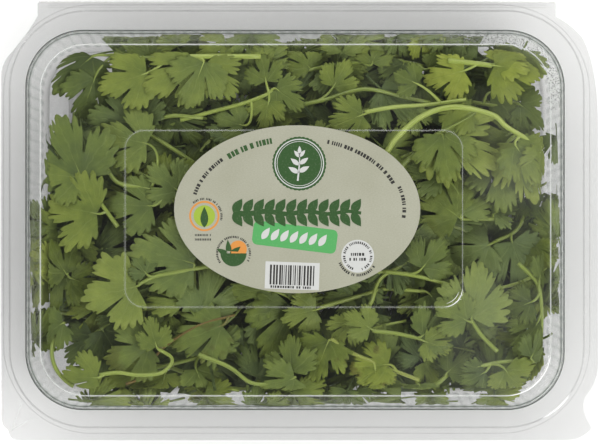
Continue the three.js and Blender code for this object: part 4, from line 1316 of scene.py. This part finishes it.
def ring_course(rectangle):
    """For each point of a ring its side or corner, its share of that and its way round; and the round."""
    x0, x1, y0, y1, radius = rectangle
    lengths = []
    for straight in (y1 - y0, x1 - x0, y1 - y0, x1 - x0):
        lengths += [straight - 2 * radius, radius * math.pi / 2]
    course, start = [], 0.0
    for part, length in enumerate(lengths):
        count = max(round(length / RING_STEP), 2)
        course += [(part, k / count, start + length * k / count) for k in range(count)]
        start += length
    return np.array(course), start


COURSE, ROUND = ring_course(MOUTH)
print(f"{len(COURSE)} points on a ring of {ROUND:.0f} mm")


def ring(rectangle, z):
    """The points of a rounded rectangle, anticlockwise from the right side, and their outward normals."""
    x0, x1, y0, y1, radius = rectangle
    middles = np.array(((x1 - radius, y0 + radius), (x1 - radius, y1 - radius), (x0 + radius, y1 - radius),
                        (x0 + radius, y0 + radius)))
    part, share = COURSE[:, 0].astype(int), COURSE[:, 1]
    corner = part // 2
    straight = part % 2 == 0
    angle = (corner + np.where(straight, 0, share)) * math.pi / 2
    normal = np.stack((np.cos(angle), np.sin(angle), np.zeros(len(angle))), axis=1)
    here, there = middles[corner], middles[(corner + 1) % 4]
    middle = np.where(straight[:, None], here + (there - here) * share[:, None], there)
    points = np.column_stack((middle, np.full(len(middle), z))) + normal * radius
    return points, normal


def flutes(height):
    """How far a point of the wall stands out, for flutes of this height."""
    count = round(ROUND / FLUTE_PITCH)
    return height * np.cos(COURSE[:, 2] / ROUND * count * 2 * math.pi)[:, None]


# %% A shell through rings
ROUNDING_STEPS = 5


def rounded_course(stations):
    """Rows (rectangle, z, flute) with each bend rounded. stations: (rectangle, z, flute, rounding)."""
    rows = [np.array((*rectangle, z, flute)) for rectangle, z, flute, _ in stations]
    course = [rows[0]]
    for before, here, after, station in zip(rows, rows[1:], rows[2:], stations[1:]):
        rounding = station[3]
        if not rounding:
            course.append(here)
            continue
        reach = [abs(other[:4] - here[:4]).mean() + abs(other[5] - here[5]) for other in (before, after)]
        start = here + (before - here) * min(rounding / reach[0], 0.5)
        stop = here + (after - here) * min(rounding / reach[1], 0.5)
        course += [bow(start, here, stop, t) for t in np.linspace(0, 1, ROUNDING_STEPS)]
    return [*course, rows[-1]]


def shell(stations, capped_first, slot=0):
    """A closed thin shell with its outside to the right of its course as seen along +Y.
    It is capped at its first or its last ring and open at the other."""
    rings = []
    for row in rounded_course(stations):
        points, normal = ring(row[:5], row[5])
        rings.append(points + normal * flutes(row[6]))
    rings = np.array(rings)
    out = np.cross(np.roll(rings, -1, axis=1) - np.roll(rings, 1, axis=1), np.gradient(rings, axis=0))
    out /= np.maximum(np.linalg.norm(out, axis=2), 1e-9)[:, :, None]
    levels, count = rings.shape[:2]
    points = np.vstack((rings.reshape(-1, 3), (rings - out * SHEET).reshape(-1, 3)))
    under, last = levels * count, (levels - 1) * count
    steps = [(k, (k + 1) % count) for k in range(count)]
    faces = []
    for low in range(0, last, count):
        faces += [(low + a, low + b, low + b + count, low + a + count) for a, b in steps]
        faces += [(under + low + a + count, under + low + b + count, under + low + b, under + low + a)
                  for a, b in steps]
    circle = tuple(range(count))
    if capped_first:
        faces += [(last + a, last + b, under + last + b, under + last + a) for a, b in steps]
        faces += [circle[::-1], tuple(under + k for k in circle)]
    else:
        faces += [(under + a, under + b, b, a) for a, b in steps]
        faces += [tuple(last + k for k in circle), tuple(under + last + k for k in circle[::-1])]
    return skin(points, faces, flat=(len(faces) - 2, len(faces) - 1), slot=slot)


# %% A bead round the box
def bead(rectangle, z, radius, slot=0, every=4, sides=8):
    """A ridge formed in the sheet: a closed round bead that follows a rounded rectangle."""
    points, normal = ring(rectangle, z)
    points, normal = points[::every], normal[::every]
    turn = np.linspace(0, 2 * math.pi, sides, endpoint=False)
    rise = np.array((0, 0, radius))
    rings = points[:, None] + np.cos(turn)[None, :, None] * normal[:, None] * radius + (
        np.sin(turn)[None, :, None] * rise)
    faces = faces_between(len(points), sides, closed=True, turned_over=True)
    return skin(rings.reshape(-1, 3), faces, slot=slot)


# %% [markdown]
# ## The rims
#
# Round the mouth, tray and lid each have a flat rim, trimmed to one outline: straight sides, cut-off
# corners, and steps at the ends of the hinge. Only the lid has the pull tab, at its front right
# corner. A flat curve with a hole fills itself, so the rim is drawn as one and given its thickness.

# %% The outline of a rim
RIM_HALF_LENGTH = 115
RIM_HALF_DEPTH = 84.3
BEND_STEPS = 8


def bent(start, control, stop):
    """Points on a quadratic bend after start, up to stop."""
    start, control, stop = map(np.array, (start, control, stop))
    return [tuple(bow(start, control, stop, t)) for t in np.linspace(0, 1, BEND_STEPS + 1)[1:]]


def rim_outline(has_tab):
    """The rim in plan, anticlockwise."""
    x, y = RIM_HALF_LENGTH, RIM_HALF_DEPTH
    points = [(-101, y), (-101, y - 5), (-105.7, 71.6), (-112.6, 63.4)]
    points += bent(points[-1], (-x, 60), (-x, 56))
    points.append((-x, -76))
    points += bent(points[-1], (-114.6, -79), (-112.4, -80.2))
    points += bent(points[-1], (-112, -y + 0.6), (-109, -y))
    if has_tab:
        points.append((109, -y))
        points += bent(points[-1], (113.4, -y), (112.8, -80.4))
        points.append((110.3, -75.7))
        points += bent(points[-1], (107.4, -70), (111.8, -65))
        points += bent(points[-1], (x, -60), (x, -54))
    else:
        points.append((101, -y))
        points += bent(points[-1], (x, -y), (x, -70))
    points.append((x, 36))
    points += bent(points[-1], (x, 58), (109.4, 70))
    points += bent(points[-1], (106, 75), (98.7, 79))
    points.append((98.7, y))
    return points


print("points round a rim, without and with the tab:", [len(rim_outline(tab)) for tab in (False, True)])


# %% Flat shapes with a thickness
def plate_skins(outlines, z, thickness, edge=0.0, slot=0):
    """Skins of flat shapes, holes included, whose middle is at z. edge: how far their edges are rounded."""
    curve = bpy.data.curves.new("plate", "CURVE")
    curve.dimensions = "2D"
    curve.fill_mode = "BOTH"
    curve.extrude = thickness / 2 - edge
    curve.bevel_depth = edge
    curve.bevel_resolution = 1
    curve.offset = -edge
    for outline in outlines:
        spline = curve.splines.new("POLY")
        spline.points.add(len(outline) - 1)
        for point, (x, y) in zip(spline.points, outline):
            point.co = (x, y, 0, 1)
        spline.use_cyclic_u = True
    holder = bpy.data.objects.new("plate", curve)
    scene.collection.objects.link(holder)
    flat = bpy.data.meshes.new_from_object(holder.evaluated_get(bpy.context.evaluated_depsgraph_get()))
    bpy.data.objects.remove(holder)
    merge = bmesh.new()
    merge.from_mesh(flat)
    bmesh.ops.remove_doubles(merge, verts=merge.verts, dist=1e-4)
    bmesh.ops.recalc_face_normals(merge, faces=merge.faces)
    points = np.array([vertex.co for vertex in merge.verts]) + (0, 0, z)
    faces = [tuple(vertex.index for vertex in face.verts) for face in merge.faces]
    merge.free()
    return skin(points, faces, flat=range(len(faces)), slot=slot)


# %% The rims and their ridges
RIDGE = (-111.8, 109.4, -79.3, 81.2, 30)  # the ridge that runs round the rim
OUTER_RIDGE = (-114.1, 111.7, -81.6, 83.5, 34)
SEAT = 36.3  # height of the lid's rim over the tray's


def rim_skins(has_tab, z, ridges):
    """A rim and the ridges formed in it, as (rectangle, radius, slot). z: the middle of the sheet."""
    hole = ring(grow(MOUTH, -SHEET), 0)[0][::4, :2]
    plate = plate_skins((rim_outline(has_tab), hole), z, SHEET, edge=0.1)
    return [plate, *[bead(rectangle, z, radius, slot) for rectangle, radius, slot in ridges]]


# %% The tray
FLOOR_SLOPE = 2.5
HEEL = (1.2, 2.2)  # the bevel at the foot: out and up
FLUTE = 0.32
FLOOR_PANEL = grow(FOOT, -12)


def wall_at(share):
    """The tray's wall at a share of its height."""
    heel = grow(FOOT, HEEL[0])
    return heel + (MOUTH - heel) * share, HEEL[1] + (TRAY_HEIGHT - HEEL[1]) * share


tray_stations = [
    (FLOOR_PANEL, FLOOR_RISE, 0, 0),
    (grow(FLOOR_PANEL, 0.8), FLOOR_RISE, 0, 0.8),
    (grow(FLOOR_PANEL, FLOOR_SLOPE), 0, 0, 0.8),
    (grow(FOOT, -0.6), 0, 0, 0.6),
    (*wall_at(0), 0, 0.8),
    (*wall_at(0.08), FLUTE, 0),
    (*wall_at(0.3), FLUTE, 0),
    (*wall_at(0.6), FLUTE, 0),
    (*wall_at(0.86), FLUTE, 0),
    (*wall_at(0.92), 0, 0),
    (*wall_at(1), 0, 0),
]
# A green bead at the mouth: the sheet seen along itself, and a painted refraction of the dark leaves.
TRAY_RIDGES = [(grow(MOUTH, 0.1), 0.17, EDGE_TINT_AND_REFRACTION)]
tray_skins = [shell(tray_stations, capped_first=True),
              *rim_skins(False, TRAY_HEIGHT - SHEET / 2, TRAY_RIDGES)]
tray = make_piece("tray_fine", tray_skins, clear_stuff[:3])
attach(tray, "tray")
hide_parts("tray")
print("tray:", triangles(tray), "triangles")

# %% [markdown]
# ## The lid
#
# The lid is drawn lower than the tray: a slanted wall, a flat top with a round edge, and a raised
# panel that stiffens the middle and carries the label. The round edges catch the tent as bright lines.

# %% The lid
PANEL_EDGE = 0.4
lid_stations = [
    (grow(MOUTH, -0.1), SEAT, 0, 0),
    (MOUTH + (DOME_EDGE - MOUTH) * 0.5, SEAT + (LID_TOP - SEAT) * 0.45, 0, 0),
    (DOME_EDGE, LID_TOP - 0.2, 0, 0.8),
    (grow(DOME_EDGE, -6), LID_TOP, 0, 0.5),
    (grow(PANEL, 0.3), LID_TOP, 0, 0.3),
    (grow(PANEL, -PANEL_EDGE), PANEL_TOP, 0, 0.3),
    (grow(PANEL, -PANEL_EDGE - 3), PANEL_TOP, 0, 0),
]
LID_RIDGES = [(RIDGE, 0.3, 0), (OUTER_RIDGE, 0.14, 0)]
lid_skins = [shell(lid_stations, capped_first=False), *rim_skins(True, SEAT + SHEET / 2, LID_RIDGES)]
# A painted highlight: a white bead along the round edge of the lid's top, where it mirrors the tent.
lid_skins.append(bead(grow(DOME_EDGE, 0.1), LID_TOP - 0.35, 0.18, PAINTED_HIGHLIGHT_BEND))
# A faint painted highlight: a grey line along the panel's soft bend.
lid_skins.append(bead(grow(PANEL, -0.1), PANEL_TOP - 0.6, 0.07, SOFT_BEND))
print("skins of the lid so far:", len(lid_skins))

# %% Bright bends at the front right corner
# The softboxes are mirrored brightest where the bends of this corner face them.
FRONT_RIGHT = COURSE[:, 0] == 7


def corner_gleam(rectangle, z, radius, first=0.0, last=1.0):
    """A painted highlight: a white bend along a share of the front right corner, thinning out to its ends.
    """
    kept = FRONT_RIGHT & (COURSE[:, 1] >= first) & (COURSE[:, 1] <= last)
    points = ring(rectangle, z)[0][kept][::2]
    radii = 0.02 + radius * np.sin(np.linspace(0, math.pi, len(points))) ** 0.5
    lid_skins.append(tube(points, radii, 6, CREASE_WHITE_AND_GLINT))


corner_gleam(grow(PANEL, -0.1), PANEL_TOP - 0.5, 0.14)
corner_gleam(grow(PANEL, -1.3), PANEL_TOP, 0.08, 0.15, 0.85)
corner_gleam(grow(DOME_EDGE, 0.1), LID_TOP - 0.3, 0.22)
corner_gleam(RIDGE, SEAT + SHEET, 0.4, 0.3, 0.62)
print("with the bright bends:", len(lid_skins))

# %% Fine marks of the mould
HINGE_RIDGES = (82.4, 83.1, 83.7)  # Y of straight ridges along the hinge
for y in HINGE_RIDGES:
    lid_skins.append(tube([(x, y, SEAT + SHEET) for x in (-97, 0, 95)], (0.1, 0.1, 0.1), 6))
# Two white lines on creases at the rim's front left corner: painted highlights along the creases.
for start, stop in (((-110.9, -80.3), (-102.8, -75.7)), ((-110.9, -80.3), (-107, -69.5))):
    points = [(*start, SEAT + SHEET), (*stop, SEAT + SHEET)]
    lid_skins.append(tube(points, (0.14, 0.08), 6, PAINTED_HIGHLIGHT_BEND))


def drop(x, y, z, radius, slot):
    """A small round drop or dot: a ball of a few faces."""
    turn = np.linspace(0, 2 * math.pi, 6, endpoint=False)
    rings = [(x + radius * s * np.cos(turn), y + radius * s * np.sin(turn), np.full(6, z + radius * c))
             for c, s in ((-0.5, 0.87), (0.5, 0.87))]
    points = np.vstack(((x, y, z - radius), *[np.stack(one, axis=1) for one in rings], (x, y, z + radius)))
    faces = [(0, 1 + (k + 1) % 6, 1 + k) for k in range(6)]
    faces += [(1 + k, 1 + (k + 1) % 6, 7 + (k + 1) % 6, 7 + k) for k in range(6)]
    faces += [(13, 7 + k, 7 + (k + 1) % 6) for k in range(6)]
    return skin(points, faces, slot=slot)


mark_rng = np.random.default_rng(6)
ridge_points = ring(RIDGE, SEAT + SHEET)[0]
back_left, front_right = [(COURSE[:, 0] == corner) for corner in (3, 7)]
# White dots on the ridge at two corners: marks of the mould, and at the front right painted glints of the
# softboxes.
for corner, count in ((back_left, 22), (front_right, 16)):
    for x, y, z in mark_rng.choice(ridge_points[corner], count, replace=False):
        side = mark_rng.uniform(-0.9, 0.9, 2)
        lid_skins.append(drop(x + side[0], y + side[1], z, mark_rng.uniform(0.12, 0.28), CREASE_WHITE_AND_GLINT))
print("with the mould's marks:", len(lid_skins))

# %% Water on the inside of the lid
DROPS = 800
foot_ring, edge_ring = ring(MOUTH, SEAT)[0], ring(DOME_EDGE, LID_TOP)[0]
wet = np.flatnonzero((COURSE[:, 0] == 1) | ((COURSE[:, 0] == 2) & (COURSE[:, 1] < 0.14)) |
                     ((COURSE[:, 0] == 0) & (COURSE[:, 1] > 0.92)))
for k in mark_rng.choice(wet, DROPS):
    share = mark_rng.uniform(0.25, 1.1)
    x, y, z = foot_ring[k] + (edge_ring[k] - foot_ring[k]) * share
    radius = mark_rng.uniform(0.1, 0.26)
    lid_skins.append(drop(x, y, min(z, LID_TOP) - SHEET * 2 - radius, radius, WATER))

lid = make_piece("lid_fine", lid_skins, clear_stuff)
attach(lid, "lid")
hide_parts("lid")
print("lid:", triangles(lid), "triangles")

# %% [markdown]
# ## The hinge
#
# A thermoformed box has no pin: lid and tray are one sheet, and a thin fold of it along the back edge
# bends when the lid opens. Here the fold is a strip along the back edge, between the two rims.

# %% The fold between the rims
HINGE_ENDS = (-100.5, 98.2)
HINGE_AXIS = (84.8, 36.15)  # Y and height
FOLD_REACH = 0.5
FOLD_BULGE = 0.2  # how much further the fold reaches back than up and down
FOLD_SHEET = 0.2
FOLD_STEPS = 12
FOLD_CELLS = 40


def fold_skin():
    """A half-round strip from the edge of the tray's rim, out and up to the edge of the lid's."""
    turn = np.linspace(-math.pi / 2, math.pi / 2, FOLD_STEPS)
    y0 = RIM_HALF_DEPTH - 0.1
    section = []
    for reach in (FOLD_REACH, FOLD_REACH - FOLD_SHEET):
        y = y0 + np.cos(turn) * (reach + FOLD_BULGE)
        z = HINGE_AXIS[1] + np.sin(turn) * reach
        section.append(np.stack((y, z), axis=1))
    loop = np.vstack((section[0], section[1][::-1]))
    rows = np.linspace(*HINGE_ENDS, FOLD_CELLS)
    points = np.array([(x, y, z) for x in rows for y, z in loop])
    size = len(loop)
    faces = faces_between(FOLD_CELLS, size, turned_over=True)
    faces.append(tuple(range(size)))
    faces.append(tuple((FOLD_CELLS - 1) * size + k for k in reversed(range(size))))
    return skin(points, faces)


fold = make_piece("hinge_fold", [fold_skin()], (clear_pet,))
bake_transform(fold)
print("fold:", triangles(fold), "triangles")

# %% [markdown]
# ## The label
#
# The label is an oval of uncoated recycled paper, stuck on the panel. What is printed on it here is
# plain: a scalloped seal with a leafy twig, a vine, a bright plate, roundels, bars, and rows of marks
# where small print would be. Each print is a shape of its own, as thick as a layer of ink that can
# just be seen. A mask in the paper's shader would do as well, but shapes stay crisp from close by and
# come along in every export.

# %% Paper and inks
PRINT_INKS = {"dark green ink": "#27461f", "bright green ink": "#489050", "white ink": "#b1b2af",
              "orange ink": "#bb7c39", "black ink": "#242321", "spring green ink": "#879c33"}

FIBRES = 1.4  # to a millimetre, coarser than real ones, which would be too fine to show
CLOUDS = 0.05  # to a millimetre, so 20 mm each: how evenly the pulp lies
THINNED = (0.55, 0.8)  # values of the fibres' noise between which ink thins
label_paper, tree = new_material("uncoated recycled paper")
place = add_node(tree, "ShaderNodeTexCoord").outputs["Object"]
fibre = add_node(tree, "ShaderNodeMapping", {"Vector": place, "Scale": (1.0, 2.5, 1.0)})
fibres = add_node(tree, "ShaderNodeTexNoise", {"Vector": fibre, "Scale": FIBRES / MM, "Detail": 4.0})
clouds = add_node(tree, "ShaderNodeTexNoise", {"Vector": place, "Scale": CLOUDS / MM, "Detail": 2.0})
pulp = [add_node(tree, "ShaderNodeMath", [part, share], operation="MULTIPLY")
        for part, share in ((fibres, 0.6), (clouds, 0.4))]
pulp = add_node(tree, "ShaderNodeMath", pulp, operation="ADD")
ramp = add_node(tree, "ShaderNodeValToRGB", [pulp])
fill_ramp(ramp.color_ramp, ((0.3, "#898977"), (0.7, "#99998a")))
bump = add_node(tree, "ShaderNodeBump", {"Height": fibres, "Strength": 0.3, "Distance": 0.05 * MM})
paper = add_node(tree, "ShaderNodeBsdfPrincipled", {"Base Color": ramp, "Roughness": 0.75,
                 "Specular IOR Level": 0.2, "Normal": bump})
add_node(tree, "ShaderNodeOutputMaterial", {"Surface": paper})
print("paper nodes:", len(tree.nodes))


def ink_material(name, code):
    """Flat ink on rough paper: its colour thins a little where the fibres stand up."""
    material, tree = new_material(name)
    place = add_node(tree, "ShaderNodeTexCoord").outputs["Object"]
    fibres = add_node(tree, "ShaderNodeTexNoise", {"Vector": place, "Scale": FIBRES / MM, "Detail": 3.0})
    thin = add_node(tree, "ShaderNodeMapRange", {"Value": fibres, "From Min": THINNED[0],
                    "From Max": THINNED[1], "To Max": 0.15})
    colour = add_node(tree, "ShaderNodeMix", {0: thin, 6: linear(code), 7: linear("#9a9a87")},
                      data_type="RGBA")
    ink = add_node(tree, "ShaderNodeBsdfPrincipled", {"Base Color": colour.outputs[2],
                   "Roughness": 0.6, "Specular IOR Level": 0.25})
    add_node(tree, "ShaderNodeOutputMaterial", {"Surface": ink})
    return material


inks = [ink_material(name, code) for name, code in PRINT_INKS.items()]
DARK_GREEN, BRIGHT_GREEN, WHITE, ORANGE, BLACK, SPRING_GREEN = range(1, 7)  # slots, after the paper's

# %% Shapes to print
LABEL_CENTRE = np.array((-1, 4.7))
LABEL_HALF = np.array((47.2, 32.2))
LABEL_FOOT = 48.3
LABEL_SHEET = 0.28
INK = 0.03  # thickness of a layer


def oval(x, y, across, up=None, steps=72, scallops=0, depth=0.0):
    """An oval about x, y, with its half widths. scallops: how many round bumps it has, this deep."""
    turn = np.linspace(0, 2 * math.pi, steps, endpoint=False)
    wave = 1 - depth * (1 - np.abs(np.cos(turn * scallops / 2)))
    return np.stack((x + across * wave * np.cos(turn), y + (up or across) * wave * np.sin(turn)), axis=1)


def turned_about(points, x, y, degrees):
    """Points round 0, 0, turned and then moved to x, y."""
    c, s = math.cos(math.radians(degrees)), math.sin(math.radians(degrees))
    return np.asarray(points) @ ((c, s), (-s, c)) + (x, y)


def bar(x, y, width, height, degrees=0, radius=0.0):
    """A rectangle about x, y, turned, with round corners if it is given a radius."""
    a, b = width / 2 - radius, height / 2 - radius
    quarter = np.linspace(0, math.pi / 2, 5 if radius else 1)
    points = []
    for k, (cx, cy) in enumerate(((1, 1), (-1, 1), (-1, -1), (1, -1))):
        points += [(cx * a + radius * math.cos(turn), cy * b + radius * math.sin(turn))
                   for turn in quarter + k * math.pi / 2]
    return turned_about(points, x, y, degrees)


def simple_leaf(x, y, length, width, degrees):
    """A plain pointed leaf from its foot at x, y."""
    share = np.linspace(0, 1, 12)
    half = width / 2 * np.sin(math.pi * share ** 0.8)
    points = [(s * length, -h) for s, h in zip(share, half)]
    points += [(s * length, h) for s, h in list(zip(share, half))[-2:0:-1]]
    return turned_about(points, x, y, degrees)


def ribbon(points, widths):
    """A band along points with a width at each."""
    points = np.asarray(points, float)
    along = np.gradient(points, axis=0)
    side = np.stack((-along[:, 1], along[:, 0]), axis=1) / np.linalg.norm(along, axis=1)[:, None]
    half = np.asarray(widths)[:, None] / 2
    return np.vstack((points - side * half, (points + side * half)[::-1]))


def arc(middle, half, first, last):
    """Points on an oval from one angle to another, in degrees."""
    turn = np.radians(np.linspace(first, last, 60))
    return np.asarray(middle) + np.stack((half[0] * np.cos(turn), half[1] * np.sin(turn)), axis=1)


prints = []


def printed(outlines, slot, layer=1):
    """Print a layer of ink, placed from the label's middle. Outlines within others make holes."""
    z = LABEL_FOOT + LABEL_SHEET + (layer - 0.5) * INK
    prints.append(plate_skins([np.asarray(one) + LABEL_CENTRE for one in outlines], z, INK, slot=slot))


PRINT_SEED = 4
print_rng = np.random.default_rng(PRINT_SEED)


def marks(path, height, slot, layer=1, widths=(0.4, 0.6, 0.85), gap=0.32):
    """Print a row of plain marks along a path, as small print looks from afar."""
    path = np.asarray(path, float)
    lengths = lengths_along(path)
    outlines, start = [], 0.0
    while start + widths[-1] < lengths[-1]:
        width = float(print_rng.choice(widths))
        (x, y), (to_x, to_y) = [[np.interp(start + width / 2 + ahead, lengths, path[:, k]) for k in (0, 1)]
                                for ahead in (0, 0.1)]
        outlines.append(bar(x, y, width, height, math.degrees(math.atan2(to_y - y, to_x - x))))
        start += width + gap * (1 if print_rng.random() < 0.82 else 3)
    printed(outlines, slot, layer)


# %% The seal and the garland
SEAL = (0.8, 17.5)
twig = [(SEAL[0] + x, SEAL[1] + y) for x, y in ((-0.6, -6.6), (-0.2, -3), (0.1, 0.5), (0.1, 4))]
TWIG_LEAVES = ((-0.2, -3.6, 150, 4.6), (-0.2, -3.2, 28, 4.6), (0.0, -0.6, 142, 4.2), (0.1, -0.2, 36, 4.2),
               (0.1, 2.4, 128, 3.4), (0.1, 2.6, 50, 3.4), (0.1, 3.4, 90, 3.4))  # x, y, heading, length
TWIG_LEAF_WIDTH = 0.42  # of the length
printed([oval(*SEAL, 10.4, scallops=40, depth=0.025, steps=160)], DARK_GREEN)
printed([oval(*SEAL, radius) for radius in (9.5, 9.1, 8.6, 8.4)], WHITE, 2)
printed([ribbon(twig, (0.7, 0.6, 0.45, 0.25))], WHITE, 2)
for x, y, turn, length in TWIG_LEAVES:
    printed([simple_leaf(SEAL[0] + x, SEAL[1] + y, length, length * TWIG_LEAF_WIDTH, turn)], WHITE, 2)

GARLAND_HALF = 24.5
GARLAND_Y = -1.3
GARLAND_LEAVES = 12
stem_x = np.linspace(-GARLAND_HALF, GARLAND_HALF, 60)
stem_y = GARLAND_Y + 0.5 * np.sin(stem_x * 0.4)
printed([ribbon(np.stack((stem_x, stem_y), 1), 1.7 - stem_x * 0.02)], DARK_GREEN, 2)
leaf_x = np.linspace(-GARLAND_HALF, GARLAND_HALF - 3.5, GARLAND_LEAVES)
for side, layer in ((1, 3), (-1, 4)):
    printed([simple_leaf(x, GARLAND_Y, 6.3, 3.5, side * 57) for x in leaf_x], DARK_GREEN, layer)
print("printed shapes:", len(prints))

# %% The plate and the bars
PLATE = (-0.9, -10.7)
PLATE_TURN = -7
printed([bar(*PLATE, 32.4, 9.2, PLATE_TURN, radius=2)], BRIGHT_GREEN)
plate_leaves = [turned_about([(x, -2.3)], *PLATE, PLATE_TURN)[0] for x in np.linspace(-12.5, 9.5, 7)]
printed([simple_leaf(*foot, 5.4, 2.5, 55) for foot in plate_leaves], WHITE, 2)

BAR_PLATE = (-1.9, -25.5)
BAR_TURN = -2
BAR_WIDTHS = (0.22, 0.44, 0.7)
BAR_GAPS = (0.22, 0.4, 0.55)
BAR_ENDS = (-8.6, 8.2)
printed([bar(*BAR_PLATE, 20.8, 10.4, BAR_TURN)], WHITE)
bars, x = [], BAR_ENDS[0]
while x < BAR_ENDS[1]:
    width = float(print_rng.choice(BAR_WIDTHS))
    centre = turned_about([(x + width / 2, 0.2)], *BAR_PLATE, BAR_TURN)[0]
    bars.append(bar(*centre, width, 7.6, BAR_TURN))
    x += width + float(print_rng.choice(BAR_GAPS))
printed(bars, BLACK, 2)
marks(turned_about([(-8.2, -4.4), (8.2, -4.4)], *BAR_PLATE, BAR_TURN), 0.9, BLACK, 2)
print("printed shapes:", len(prints), "with", len(bars), "bars")

# %% The roundels and the disc
FIRST, SECOND, DISC = (-35.6, -2.6), (-24.4, -16.9), (23.2, -18)
LEAF_FOOT = (SECOND[0] - 1.6, SECOND[1] - 1)
FINE_MARKS = {"widths": (0.3, 0.45), "gap": 0.25}
printed([oval(*FIRST, 5.8), oval(*FIRST, 5.1)], ORANGE)
printed([oval(*FIRST, 4.1)], SPRING_GREEN)
printed([simple_leaf(FIRST[0], FIRST[1] - 4.4, 8, 3, 90)], DARK_GREEN, 2)
marks(arc(FIRST, (6.6, 6.6), 130, -20), 0.8, BLACK, **FINE_MARKS)
printed([oval(SECOND[0] + 1.8, SECOND[1] + 1.6, 3.3)], ORANGE)
printed([arc(SECOND, (5, 5), 180, 360)], DARK_GREEN, 2)
printed([simple_leaf(*LEAF_FOOT, length, 2.2, turn) for turn, length in ((40, 5.6), (150, 5.6), (96, 6.2))],
        DARK_GREEN, 3)
marks(arc(SECOND, (6.3, 6.3), 215, -35), 0.8, BLACK, **FINE_MARKS)
printed([oval(*DISC, 6.3)], WHITE)
marks(arc(DISC, (5.2, 5.2), 250, -80), 0.9, BLACK, 2, (0.3, 0.5))
for y, half in ((-17.3, 2.6), (-19.2, 3.2)):
    marks([(DISC[0] - half, y), (DISC[0] + half, y)], 1.1, BLACK, 2)
print("printed shapes:", len(prints))

# %% Rows of marks round the edge
marks(arc((0, 0), LABEL_HALF * 0.84, 132, 102), 2.2, DARK_GREEN, 1, (0.8, 1.1, 1.3), 0.4)
EDGE_ROWS = ((0.85, 168, 135, 1.4), (0.84, 73, 20, 1.5), (0.87, 18, -8, 1.4))
for share, first, last, height in EDGE_ROWS:  # share of the label's half sizes, and angles
    marks(arc((0, 0), LABEL_HALF * share, first, last), height, BLACK, 1, (0.5, 0.75, 1.0), 0.35)
marks(arc(DISC, (7.3, 7.3), 200, 335), 1.0, BLACK, 1, (0.4, 0.6), 0.3)
for y in (-9.9, -11.6):
    marks([(-39.2, y), (-33, y)], 0.8, BLACK, **FINE_MARKS)
print("printed shapes:", len(prints))

# %% The label
paper_skin = plate_skins([oval(*LABEL_CENTRE, *LABEL_HALF, steps=160)], LABEL_FOOT + LABEL_SHEET / 2,
                         LABEL_SHEET, edge=0.05)
label = make_piece("label_fine", [paper_skin, *prints], (label_paper, *inks))
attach(label, "lid")
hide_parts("label")
print("label:", len(prints), "printed shapes,", triangles(label), "triangles")
